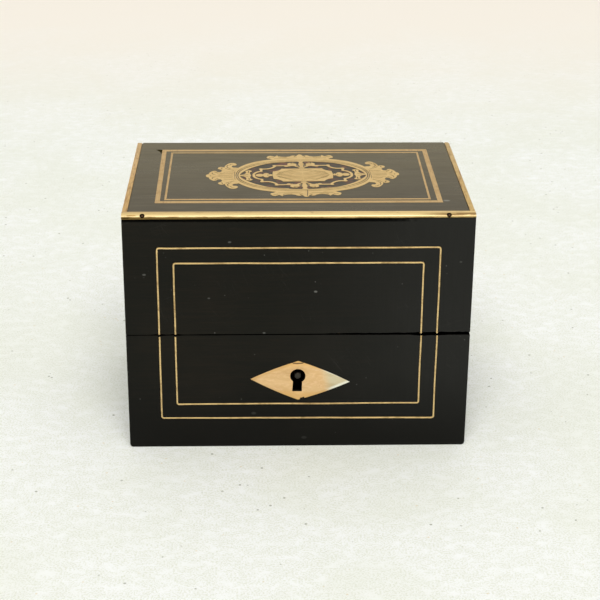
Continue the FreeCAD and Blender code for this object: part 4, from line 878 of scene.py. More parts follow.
class Bench:
    """Picks, shapes and finishes meshes as by hand."""

    @staticmethod
    def clear() -> None:
        """Drop every selection."""
        if bpy.context.object and bpy.context.object.mode != "OBJECT":
            bpy.ops.object.mode_set(mode="OBJECT")
        bpy.ops.object.select_all(action="DESELECT")

    @classmethod
    def take(cls, piece: Piece) -> None:
        """Make one piece the only selected and active one.

        Args:
            piece: what to work on.
        """
        cls.clear()
        piece.hide_set(False)
        piece.select_set(True)
        bpy.context.view_layer.objects.active = piece

    @staticmethod
    def add(name: str, data: bpy.types.ID) -> Piece:
        """Put a new mesh, curve, light or camera into the scene.

        Args:
            name: the new object.
            data: what it shows.

        Returns:
            The object.
        """
        piece = bpy.data.objects.new(name, data)
        bpy.context.scene.collection.objects.link(piece)
        return piece

    @staticmethod
    def settle(name: str) -> Piece:
        """Name the active piece and put its place into its mesh.

        Args:
            name: its name.

        Returns:
            The piece.
        """
        piece = bpy.context.object
        piece.name = name
        piece.data.name = name
        bpy.ops.object.transform_apply(location=True, rotation=True, scale=True)
        return piece

    @classmethod
    def block(cls, name: str, low: Vector, high: Vector) -> Piece:
        """A block between two corners.

        Args:
            name: the new piece.
            low: the corner with the smallest coordinates.
            high: the corner with the largest coordinates.

        Returns:
            The block.
        """
        cls.clear()
        bpy.ops.mesh.primitive_cube_add(size=1, location=(low + high) / 2, scale=high - low)
        return cls.settle(name)

    @classmethod
    def rod(cls, name: str, radius: float, length: float) -> Piece:
        """An upright rod round the origin.

        Args:
            name: the new piece.
            radius: half its thickness.
            length: how long it is.

        Returns:
            The rod.
        """
        cls.clear()
        bpy.ops.mesh.primitive_cylinder_add(vertices=24, radius=radius, depth=length, location=(0, 0, 0))
        return cls.settle(name)

    @classmethod
    def copy_node(cls, node: str, name: str, flat: float = 0.3) -> Piece:
        """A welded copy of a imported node.

        Args:
            node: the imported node.
            name: the new piece.
            flat: degrees up to which neighbouring faces are one face.

        Returns:
            The copy.
        """
        piece = cls.add(name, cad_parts[node].data.copy())
        piece.data.materials.clear()
        cls.take(piece)
        bpy.ops.object.mode_set(mode="EDIT")
        bpy.ops.mesh.select_all(action="SELECT")
        bpy.ops.mesh.customdata_custom_splitnormals_clear()
        bpy.ops.mesh.remove_doubles(threshold=WELD)
        bpy.ops.mesh.dissolve_limited(angle_limit=math.radians(flat))
        bpy.ops.object.mode_set(mode="OBJECT")
        return piece

    @classmethod
    def _pick(cls, piece: Piece, kind: str, wanted: Callable[[Any], bool]) -> int:
        """Select vertices or edges and leave the piece in edit mode.

        Args:
            piece: what to work on.
            kind: VERT or EDGE.
            wanted: takes one of them and says whether it is meant.

        Returns:
            How many were selected.
        """
        cls.take(piece)
        bpy.ops.object.mode_set(mode="EDIT")
        bpy.ops.mesh.select_mode(type=kind)
        bpy.ops.mesh.select_all(action="DESELECT")
        bpy.ops.object.mode_set(mode="OBJECT")
        count = 0
        for part in piece.data.vertices if kind == "VERT" else piece.data.edges:
            part.select = wanted(part)
            count += part.select
        bpy.ops.object.mode_set(mode="EDIT")
        return count

    @classmethod
    def _pick_edges(cls, piece: Piece, wanted: EdgeTest) -> int:
        """Select the edges whose two ends are wanted together."""
        mesh = piece.data
        return cls._pick(piece, "EDGE", lambda edge: wanted(*(mesh.vertices[end].co for end in edge.vertices)))

    @classmethod
    def shift(cls, piece: Piece, test: Test, by: Vector) -> None:
        """Move the vertices that pass a test.

        Args:
            piece: what to work on.
            test: takes a place and says whether it is meant.
            by: how far they go.
        """
        if cls._pick(piece, "VERT", lambda vertex: test(vertex.co)):
            bpy.ops.transform.translate(value=by)
        bpy.ops.object.mode_set(mode="OBJECT")

    @classmethod
    def cut_lengthwise(cls, piece: Piece, cuts: int) -> None:
        """Divide the edges that run along the box.

        Args:
            piece: what to work on.
            cuts: how many cuts each edge gets.
        """
        cls._pick_edges(piece, lambda a, b: abs(a.x - b.x) > 10 * MM)
        bpy.ops.mesh.subdivide(number_cuts=cuts)
        bpy.ops.object.mode_set(mode="OBJECT")

    @classmethod
    def round_edges(cls, piece: Piece, test: Test, radius: float, segments: int) -> None:
        """Round the edges whose two ends pass a test.

        Args:
            piece: what to work on.
            test: takes a place and says whether it is meant.
            radius: of the rounding.
            segments: how many steps a rounding has.
        """
        if cls._pick_edges(piece, lambda a, b: test(a) and test(b)):
            bpy.ops.mesh.bevel(offset=radius, segments=segments, profile=0.5, affect="EDGES")
        bpy.ops.object.mode_set(mode="OBJECT")

    @classmethod
    def modify(cls, piece: Piece, kind: str, **settings: Any) -> Piece:
        """Add a modifier with its settings and apply it.

        Args:
            piece: what to work on.
            kind: Blender's name of the modifier type.
            settings: its properties.

        Returns:
            The piece.
        """
        cls.take(piece)
        modifier = piece.modifiers.new(kind.lower(), kind)
        for name, value in settings.items():
            setattr(modifier, name, value)
        bpy.ops.object.modifier_apply(modifier=modifier.name)
        return piece

    @classmethod
    def ease(cls, piece: Piece, width: float, segments: int = 2, angle: float = 35) -> Piece:
        """Round every arris a little."""
        settings = {"limit_method": "ANGLE", "angle_limit": math.radians(angle), "miter_outer": "MITER_ARC"}
        return cls.modify(piece, "BEVEL", width=width, segments=segments, use_clamp_overlap=True, **settings)

    @classmethod
    def carve(cls, piece: Piece, cutter: Piece, keep: bool = False) -> None:
        """Take one piece's shape out of another.

        Args:
            piece: what to work on.
            cutter: the shape that goes.
            keep: whether the cutter stays for another cut.
        """
        cls.modify(piece, "BOOLEAN", operation="DIFFERENCE", object=cutter, solver="EXACT", use_self=True)
        if not keep:
            bpy.data.objects.remove(cutter)

    @classmethod
    def smooth(cls, piece: Piece, angle: float = 32) -> Piece:
        """Shade soft within an angle.

        Args:
            piece: what to work on.
            angle: degrees up to which an edge looks round.

        Returns:
            The piece.
        """
        cls.take(piece)
        bpy.ops.object.shade_smooth_by_angle(angle=math.radians(angle))
        return piece

    @classmethod
    def join(cls, name: str, pieces: list[Piece]) -> Piece:
        """One piece from several, which stay separate shells.

        Args:
            name: the joined piece.
            pieces: what it is made of.

        Returns:
            The joined piece.
        """
        cls.take(pieces[0])
        for piece in pieces[1:]:
            piece.select_set(True)
        if len(pieces) > 1:
            bpy.ops.object.join()
        return cls.settle(name)

    @staticmethod
    def fit(piece: Piece, body: Body, slot: Slot, finish: Material, nodes: Iterable[str] = ()) -> None:
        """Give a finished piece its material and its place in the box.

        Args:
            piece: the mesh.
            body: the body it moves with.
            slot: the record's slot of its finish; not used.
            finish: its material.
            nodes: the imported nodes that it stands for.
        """
        piece.data.materials.clear()
        piece.data.materials.append(finish)
        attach(piece, body.value)
        nodes = list(nodes)
        if nodes:
            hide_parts(*nodes)
        LOG.info("%s: %d faces", piece.name, len(piece.data.polygons))

    @classmethod
    def dress(
        cls, node: str, kind: str, body: Body, slot: Slot, finish: Material,
        width: float = 0.0, segments: int = 2, angle: float = 32,
    ) -> None:
        """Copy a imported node, ease its arrises and fit it.

        Args:
            node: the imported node.
            kind: the end of the new piece's name.
            body: the body it moves with.
            slot: the record's slot of its finish.
            finish: its material.
            width: of the easing, or 0 for none.
            segments: how many steps a rounding has.
            angle: degrees up to which an edge looks round.
        """
        piece = cls.copy_node(node, f"{node}_{kind}")
        if width:
            cls.ease(piece, width, segments)
        cls.fit(cls.smooth(piece, angle), body, slot, finish, [node])

    @classmethod
    def plate(cls, name: str, outline: list[Vector], low: float, high: float) -> Piece:
        """A flat plate of any outline between two heights.

        Args:
            name: the new piece.
            outline: its corners.
            low: its underside.
            high: its top.

        Returns:
            The plate.
        """
        sheet = cls._line(name, outline, True)
        sheet.data.fill_mode = "BOTH"
        sheet.data.extrude = (high - low) / 2
        made = cls._solid(sheet)
        made.data.transform(Matrix.Translation((0, 0, (low + high) / 2)))
        return made

    @classmethod
    def sweep(cls, name: str, path: list[Vector], section: Line, closed: bool = False) -> Piece:
        """A bar of one section along a flat path in the XY plane, its ends closed.

        Args:
            name: the new piece.
            path: the points of the middle line.
            section: its corners, across the path and upwards.
            closed: whether the line is a ring.

        Returns:
            The bar.
        """
        profile = cls._line(name + "_section", [Vector((a, b, 0)) for a, b in section], True)
        rail = cls._line(name, path, closed)
        rail.data.bevel_mode = "OBJECT"
        rail.data.bevel_object = profile
        rail.data.use_fill_caps = not closed
        bar = cls._solid(rail)
        bpy.data.objects.remove(profile)
        return bar

    @classmethod
    def _line(cls, name: str, points: list[Vector], closed: bool) -> Piece:
        """A straight-sided curve through points.

        Args:
            name: the new curve.
            points: its points.
            closed: whether the line is a ring.

        Returns:
            The curve.
        """
        curve = bpy.data.curves.new(name, "CURVE")
        curve.dimensions = "2D"
        curve.fill_mode = "NONE"
        spline = curve.splines.new("POLY")
        spline.points.add(len(points) - 1)
        for place, point in zip(spline.points, points):
            place.co = (point.x, point.y, 0, 1)
        spline.use_cyclic_u = closed
        return cls.add(name, curve)

    @classmethod
    def _solid(cls, line: Piece) -> Piece:
        """A welded mesh from a curve, its faces turned outwards.

        Args:
            line: the curve.

        Returns:
            The mesh.
        """
        cls.take(line)
        bpy.ops.object.convert(target="MESH")
        bpy.ops.object.mode_set(mode="EDIT")
        bpy.ops.mesh.select_all(action="SELECT")
        bpy.ops.mesh.remove_doubles(threshold=WELD)
        bpy.ops.mesh.normals_make_consistent(inside=False)
        bpy.ops.object.mode_set(mode="OBJECT")
        return bpy.context.object

    @staticmethod
    def stand_up(piece: Piece, y: float) -> None:
        """Turn a piece drawn flat in XY to stand in XZ, at a distance along Y."""
        piece.data.transform(Matrix.Translation((0, y, 0)) @ Matrix.Rotation(math.pi / 2, 4, "X"))

    @staticmethod
    def wander(seed: float, along: float, amount: float) -> float:
        """How far a hand-laid line strays at a distance along it."""
        return amount * noise.noise(Vector((seed * 7.31, along * 45.0, seed)))


@dataclass
class Carcase:
    """The wooden box: boards and veneers of base and lid."""

    finishes: Finishes
    arris: float = 0.22 * MM
    face_drop: float = 0.06 * MM
    band_left: float = 100.75 * MM
    band_right: float = 101.25 * MM
    foot_round: float = 1.0 * MM
    wood_gap: float = 0.42 * MM
    wood_gap_depth: float = 0.45 * MM
    corner_fill: float = 3.0 * MM
    fill_sink: float = 0.03 * MM

    def build(self) -> None:
        """Make and dress all the boards."""
        seam = self._worn_seam()
        for node, (body, finish) in self._boards().items():
            slot = Slot.BOTTOM if node == "base_bottom_board" else Slot.CARCASE
            board = Bench.copy_node(node, node + "_wood")
            self._sink_front(board)
            if "front" in node:
                Bench.carve(board, seam, keep=True)
            if node.startswith("base"):
                self._round_foot(board)
            Bench.smooth(Bench.ease(board, self.arris))
            Bench.fit(board, body, slot, finish, [node])
        self._front_veneer("base_front_veneer", Body.BASE, seam)
        self._front_veneer("lid_front_veneer", Body.LID, seam)
        bpy.data.objects.remove(seam)
        self._top_veneer()

    def _boards(self) -> dict[str, tuple[Body, Material]]:
        """Which body and finish each board has.

        Returns:
            Both by node.
        """
        f = self.finishes
        boards = {"base_bottom_board": (Body.BASE, f.underside)}
        for body in (Body.BASE, Body.LID):
            boards[f"{body.value}_front_board"] = (body, f.front)
            boards[f"{body.value}_back_board"] = (body, f.back)
            boards[f"{body.value}_left_board"] = (body, f.side)
            boards[f"{body.value}_right_board"] = (body, f.side)
        boards["lid_top_board"] = (Body.LID, f.side)
        return boards

    def _worn_seam(self) -> Piece:
        """What wear has taken from the front edges of base and lid: a thin wavy slip.

        Returns:
            The slip, to be cut out of the boards and sheets.
        """
        middle = (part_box("base_front_veneer")[1].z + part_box("lid_front_veneer")[0].z) / 2
        low = Vector((-71 * MM, FRONT - 1 * MM, middle - 0.15 * MM))
        high = Vector((71 * MM, FRONT + 4.5 * MM, middle + 0.15 * MM))
        slip = Bench.block("seam_wear", low, high)
        Bench.cut_lengthwise(slip, 140)
        for vertex in slip.data.vertices:
            co = vertex.co
            rise, fall = self._wear(co.x / MM)
            ragged = 0.75 + 1.1 * abs(noise.noise(Vector((co.x * 900, 3.7 if co.z > middle else 8.1, 0))))
            co.z += rise * MM * ragged if co.z > middle else -fall * MM * ragged
        return slip

    @staticmethod
    def _wear(across: float) -> Pair:
        """How much is gone above and below the seam, in millimetres.

        Args:
            across: place across the box, in millimetres.

        Returns:
            Both amounts.
        """
        for (x0, up0, down0), (x1, up1, down1) in zip(SEAM_WEAR, SEAM_WEAR[1:]):
            if across <= x1:
                t = max(0.0, (across - x0) / (x1 - x0))
                return up0 + (up1 - up0) * t, down0 + (down1 - down0) * t
        return SEAM_WEAR[-1][1], SEAM_WEAR[-1][2]

    def _sink_front(self, piece: Piece) -> None:
        """Set a front face back a little, so that the metal in it stands proud."""
        Bench.shift(piece, lambda co: co.y < FRONT + HAIR, Vector((0, self.face_drop, 0)))

    def _round_foot(self, piece: Piece) -> None:
        """Wear the two lower side arrises round.

        Args:
            piece: what to work on.
        """
        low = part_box("base_front_veneer")[0]
        edge, level = abs(low.x) - SPARE, low.z + SPARE
        Bench.round_edges(piece, lambda p: abs(p.x) > edge and p.z < level, self.foot_round, 4)

    def _front_veneer(self, node: str, body: Body, seam: Piece) -> None:
        """One of the two front sheets.

        Args:
            node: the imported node.
            body: the body it moves with.
            seam: what wear has taken from it.
        """
        sheet = Bench.copy_node(node, node + "_sheet")
        self._sink_front(sheet)
        if body is Body.LID:
            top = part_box(node)[1].z
            for side, level in ((-1, self.band_left), (1, self.band_right)):
                Bench.shift(sheet, lambda co: co.z > top - HAIR and co.x * side > 0, Vector((0, 0, level - top)))
        else:
            self._round_foot(sheet)
        Bench.carve(sheet, seam, keep=True)
        Bench.smooth(Bench.ease(sheet, 0.08 * MM, 1))
        Bench.fit(sheet, body, Slot.FRONT_FACE, self.finishes.front, [node])

    def _top_veneer(self) -> None:
        """The sheet on the lid: an open joint beside each band, a chip at the frame's rear left corner."""
        low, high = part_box("lid_top_veneer")
        sheet = Bench.copy_node("lid_top_veneer", "lid_top_sheet")
        Bench.shift(sheet, lambda co: co.z > TOP - HAIR, Vector((0, 0, -self.face_drop)))
        chip = [Vector((a * MM, b * MM, 0)) for a, b in TOP_CHIP]
        cutters = [Bench.plate("chip", chip, TOP - 0.9 * MM, TOP + 1 * MM)]
        gap, bed = self.wood_gap, TOP - self.wood_gap_depth
        for side, x in (("left", low.x), ("right", high.x - gap)):
            far = Vector((x + gap, high.y + 1 * MM, TOP + 1 * MM))
            cutters.append(Bench.block(f"joint_{side}", Vector((x, low.y - 1 * MM, bed)), far))
        far = Vector((high.x + 1 * MM, low.y + gap * 0.6, TOP + 1 * MM))
        cutters.append(Bench.block("joint_front", Vector((low.x - 1 * MM, low.y, bed)), far))
        for cutter in cutters:
            Bench.carve(sheet, cutter)
        sheet = Bench.join("lid_top_sheet", [sheet] + self._fills())
        Bench.fit(Bench.smooth(sheet), Body.LID, Slot.TOP_FACE, self.finishes.top, ["lid_top_veneer"])

    def _fills(self) -> list[Piece]:
        """Wood behind the side joints at the rear, and black stopping beside the strips of both frames.

        Returns:
            Blocks that lie in the sheet.
        """
        z0, z1 = TOP - self.wood_gap_depth, TOP - self.face_drop
        low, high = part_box("lid_top_veneer")
        bars = []
        side, under = self.corner_fill, self.fill_sink
        for number, x in enumerate((low.x + self.wood_gap, high.x - self.wood_gap - side)):
            corner, far = Vector((x, high.y - side, TOP - 1 * MM)), Vector((x + side, high.y - under, z1 - under))
            bars.append(Bench.block(f"rear_corner_{number}", corner, far))
        for node, width in (("top_string_outer", 2.3 * MM), ("top_string_inner", 1.25 * MM)):
            low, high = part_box(node)
            inner_low, inner_high = low + Vector((width, width, 0)), high - Vector((width, width, 0))
            spans = (
                (low.x, low.y, high.x, inner_low.y), (low.x, inner_high.y, high.x, high.y),
                (low.x, inner_low.y, inner_low.x, inner_high.y), (inner_high.x, inner_low.y, high.x, inner_high.y),
            )
            for number, (x0, y0, x1, y1) in enumerate(spans):
                bars.append(Bench.block(f"{node}_stopping_{number}", Vector((x0, y0, z0)), Vector((x1, y1, z1))))
        return bars


@dataclass
class FrontStringing:
    """Two frames of brass wire let into the front, each cut through at the seam."""

    finishes: Finishes
    width: float = 0.72 * MM
    depth: float = 0.55 * MM
    bend: float = 0.9 * MM
    step: float = 3.0 * MM
    stray: float = 0.16 * MM
    lid_end: float = 0.12 * MM
    base_end: float = 0.62 * MM
    low_slope: Pair = (0.20 * MM, -0.42 * MM)
    inset: float = 0.4 * MM
    chamfer: float = 0.13 * MM

    def build(self) -> None:
        """Bend, let in and dress the four wires."""
        for body, prefix, upward in ((Body.BASE, "base", False), (Body.LID, "lid", True)):
            for number, ring in enumerate(("outer", "inner")):
                node = f"{prefix}_string_{ring}"
                self._wire(node, body, upward, seed=3.0 + number * 5 + (11 if upward else 0))

    def _wire(self, node: str, body: Body, upward: bool, seed: float) -> None:
        """One bent wire, from the seam round two corners and back to the seam.

        Args:
            node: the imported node.
            body: the body it moves with.
            upward: whether it belongs to the lid.
            seed: which of the random lines it follows.
        """
        low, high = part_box(node)
        left, right = low.x + self.inset, high.x - self.inset
        if upward:
            seam, far = low.z + self.lid_end, high.z - self.inset
        else:
            seam, far = high.z - self.base_end, low.z + self.inset
            left += 0.1 * MM
        path = self._path(left, right, seam, far, seed)
        if node == "base_string_outer":
            for point in path:
                share = (point.x - left) / (right - left)
                depth = (seam - point.y) / (seam - far)
                point.y += (self.low_slope[0] + (self.low_slope[1] - self.low_slope[0]) * share) * depth
        half, c, deep = self.width / 2, self.chamfer, self.depth
        section = [(-half + c, 0), (-half, -c), (-half, -deep), (half, -deep), (half, -c), (half - c, 0)]
        wire = Bench.sweep(node + "_wire", path, section)
        Bench.stand_up(wire, 0)
        self._press(wire)
        Bench.fit(Bench.smooth(wire, 50), body, Slot.STRING, self.finishes.string, [node])

    def _path(self, left: float, right: float, seam: float, far: float, seed: float) -> list[Vector]:
        """The wire's middle line, straying as a hand-laid wire does.

        Args:
            left: its left run.
            right: its right run.
            seam: where it meets the seam.
            far: the level of its run across the box.
            seed: which of the random lines it follows.

        Returns:
            The points, from the left end to the right end.
        """
        way = 1 if far > seam else -1
        turn = far - way * self.bend
        up, down = self._side(left, seam, turn, seed), self._side(right, seam, turn, seed + 2)
        up += self._corner(up[-1].x, turn, 1, way, far)
        down += self._corner(down[-1].x, turn, -1, way, far)
        start, stop = left + self.bend * 1.4, right - self.bend * 1.4
        steps = round((stop - start) / self.step)
        for i in range(1, steps):
            x = start + (stop - start) * i / steps
            up.append(Vector((x, far - way * 0.02 * MM + Bench.wander(seed + 1, x, self.stray), 0)))
        return up + down[::-1]

    def _side(self, x: float, seam: float, turn: float, seed: float) -> list[Vector]:
        """One upright run of a wire, from the seam to its bend.

        Args:
            x: where it runs.
            seam: where it meets the seam.
            turn: where its bend starts.
            seed: which of the random lines it follows.

        Returns:
            Its points, upwards or downwards from the seam.
        """
        steps = max(3, round(abs(turn - seam) / self.step))
        levels = [seam + (turn - seam) * i / steps for i in range(steps + 1)]
        return [Vector((x + Bench.wander(seed, z, self.stray), z, 0)) for z in levels]

    def _corner(self, x: float, turn: float, inward: int, way: int, far: float) -> list[Vector]:
        """Three points round a bend.

        Args:
            x: the upright run.
            turn: where its bend starts.
            inward: 1 at the left bend, -1 at the right bend.
            way: 1 if the wire runs upwards, -1 if downwards.
            far: the level of its run across the box.

        Returns:
            The points, from the upright run onwards.
        """
        b = self.bend
        return [
            Vector((x + inward * b * 0.08, turn + way * b * 0.45, 0)),
            Vector((x + inward * b * 0.35, far - way * b * 0.12, 0)),
            Vector((x + inward * b * 0.95, far + way * b * 0.02, 0)),
        ]

    def _press(self, wire: Piece) -> None:
        """Lay the wire's face level with the front of the box."""
        nearest = min(vertex.co.y for vertex in wire.data.vertices)
        wire.data.transform(Matrix.Translation((0, FRONT - nearest, 0)))


@dataclass
class TopFrames:
    """The wide and the thin brass frame on the lid, four mitred strips each."""

    finishes: Finishes
    depth: float = 0.5 * MM
    gap: float = 0.02 * MM

    def build(self) -> None:
        """Cut, mitre and lay the strips."""
        leans = ((0.0, -0.1), (0.25, -0.1), (0.6, 0.75), (-0.7, 0.75))
        self._frame("top_string_outer", leans, (2.3, 2.05, 2.25, 1.95))
        leans = ((0.0, 0.0), (-0.7, 0.0), (0.0, 0.35), (-0.2, 0.35))
        self._frame("top_string_inner", leans, (1.25, 0.85, 1.05, 0.85))

    def _frame(self, node: str, leans: tuple[Pair, ...], widths: tuple[float, ...]) -> None:
        """Four strips round a nearly square-cornered frame.

        Args:
            node: the CAD node.
            leans: how far each corner strays from it, in millimetres, round from the front left one.
            widths: the front, right, rear and left strip's width, in millimetres.
        """
        low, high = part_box(node)
        square = ((low.x, low.y), (high.x, low.y), (high.x, high.y), (low.x, high.y))
        outer = [Vector((x + dx * MM, y + dy * MM, 0)) for (x, y), (dx, dy) in zip(square, leans)]
        front, right, rear, left = (width * MM for width in widths)
        inward = ((left, front), (-right, front), (-right, -rear), (left, -rear))
        inner = [corner + Vector((dx, dy, 0)) for corner, (dx, dy) in zip(outer, inward)]
        strips = []
        for i, side in enumerate(("front", "right", "rear", "left")):
            j = (i + 1) % 4
            along = (outer[j] - outer[i]).normalized() * self.gap
            outline = [outer[i] + along, outer[j] - along, inner[j] - along, inner[i] + along]
            strips.append(Bench.plate(f"{node}_{side}", outline, TOP - self.depth, TOP))
        ring = Bench.join(node + "_strips", strips)
        Bench.ease(ring, 0.06 * MM, 1)
        Bench.fit(Bench.smooth(ring), Body.LID, Slot.STRING, self.finishes.strip, [node])


@dataclass
class EdgeBands:
    """Brass bands round the front and side edges of the lid, dressed by hand."""

    finishes: Finishes
    cuts: int = 80
    left_height: float = 1.95 * MM
    right_height: float = 1.5 * MM
    rounding: float = 1.8 * MM
    wave: float = 0.08 * MM
    rear_round: float = 1.3 * MM
    pin_slant: float = 0.42 * MM
    pin_radius: float = 0.5 * MM
    pin_sink: float = 0.12 * MM
    hole_radius: float = 0.82 * MM

    def build(self) -> None:
        """Shape the three bands and the pins."""
        self._front_band()
        for side, finish in (("left", self.finishes.left_band), ("right", self.finishes.right_band)):
            node = f"edge_band_{side}"
            low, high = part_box(node)
            band = Bench.block(node + "_brass", low, high)
            if side == "right":
                rear = high - Vector((SPARE, SPARE, 0))
                Bench.round_edges(band, lambda p: p.x > rear.x and p.y > rear.y, self.rear_round, 5)
            Bench.smooth(Bench.ease(band, 0.22 * MM))
            Bench.fit(band, Body.LID, Slot.BAND, finish, [node])
        self._pins()

    def _front_band(self) -> None:
        """A bar, rounded over and tapering to the right, with a wavy lower edge."""
        node = "edge_band_front"
        low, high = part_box(node)
        band = Bench.block(node + "_brass", Vector((low.x, low.y, high.z - self.left_height)), high)
        y, z = low.y + HAIR, high.z - HAIR
        Bench.round_edges(band, lambda p: p.y < y and p.z > z, self.rounding, 8)
        Bench.cut_lengthwise(band, self.cuts)
        self._dress(band, low, high)
        for cutter in self._holes() + self._cracks(low, high):
            Bench.carve(band, cutter)
        Bench.smooth(Bench.ease(band, 0.06 * MM, 1, 50), 40)
        Bench.fit(band, Body.LID, Slot.BAND, self.finishes.band, [node])

    def _dress(self, band: Piece, low: Vector, high: Vector) -> None:
        """Hammer the bar: taper its lower edge and make its edges wander.

        Args:
            band: the bar.
            low: the corner of its space with the smallest coordinates.
            high: the opposite corner.
        """
        length = high.x - low.x
        for vertex in band.data.vertices:
            co = vertex.co
            share = (co.x - low.x) / length
            depth = (high.z - co.z) / self.left_height
            height = self.left_height + (self.right_height - self.left_height) * share
            height += Bench.wander(4.0, co.x, self.wave) + Bench.wander(9.0, co.x * 3.1, self.wave * 0.5)
            co.z = high.z - depth * height
            if co.y > high.y - HAIR:
                co.y += min(0.0, Bench.wander(6.0, co.x, self.wave)) + 0.04 * MM

    def _slanting(self, name: str, x: float, radius: float, length: float, sink: float) -> Piece:
        """A rod square to the rounded edge, driven in from the band's round face.

        Args:
            name: the new piece.
            x: place across the box.
            radius: half its thickness.
            length: how long it is.
            sink: how far its outer end lies under the face.

        Returns:
            The rod.
        """
        low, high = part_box("edge_band_pins")
        outer = Vector((x, low.y + self.pin_slant, high.z - self.pin_slant))
        inward = Vector((0, 1, -1)).normalized()
        rod = Bench.rod(name, radius, length)
        rod.data.transform(Vector((0, 0, 1)).rotation_difference(inward).to_matrix().to_4x4())
        rod.data.transform(Matrix.Translation(outer + inward * (length / 2 + sink)))
        return rod

    @staticmethod
    def _pin_places() -> Pair:
        """Where the two pins are across the box."""
        low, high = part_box("edge_band_pins")
        return low.x + 0.6 * MM, high.x - 0.6 * MM

    def _holes(self) -> list[Piece]:
        """The drills for both pins."""
        places = enumerate(self._pin_places())
        return [self._slanting(f"drill_{number}", x, self.hole_radius, 8 * MM, -2 * MM) for number, x in places]

    @staticmethod
    def _cracks(low: Vector, high: Vector) -> list[Piece]:
        """Two cracks in the rubbed metal at the left end.

        Args:
            low: the corner of the band with the smallest coordinates.
            high: the opposite corner.

        Returns:
            What the cracks take away.
        """
        cracks = []
        for number, (x0, x1, down, tilt) in enumerate(((-67.8, -64.4, 0.66, -0.12), (-69.7, -66.9, 1.55, 0.05))):
            start, stop = Vector((x0 * MM, low.y - 1 * MM, 0)), Vector((x1 * MM, low.y + 1.1 * MM, 0.22 * MM))
            bar = Bench.block(f"crack_{number}", start, stop)
            Bench.shift(bar, lambda co: co.x > (x0 + x1) / 2 * MM, Vector((0, 0, -tilt * MM)))
            bar.data.transform(Matrix.Translation((0, 0, high.z - down * MM)))
            cracks.append(bar)
        return cracks

    def _pins(self) -> None:
        """The two pin heads, dished and dark in the rounded edge of the band."""
        left, right = self._pin_places()
        places = enumerate((left, right + 0.12 * MM))
        heads = [self._slanting(f"pin_{number}", x, self.pin_radius, 5 * MM, self.pin_sink) for number, x in places]
        pins = Bench.join("edge_band_pin_heads", heads)
        Bench.smooth(Bench.ease(pins, 0.12 * MM))
        Bench.fit(pins, Body.LID, Slot.PIN, self.finishes.pin, ["edge_band_pins"])


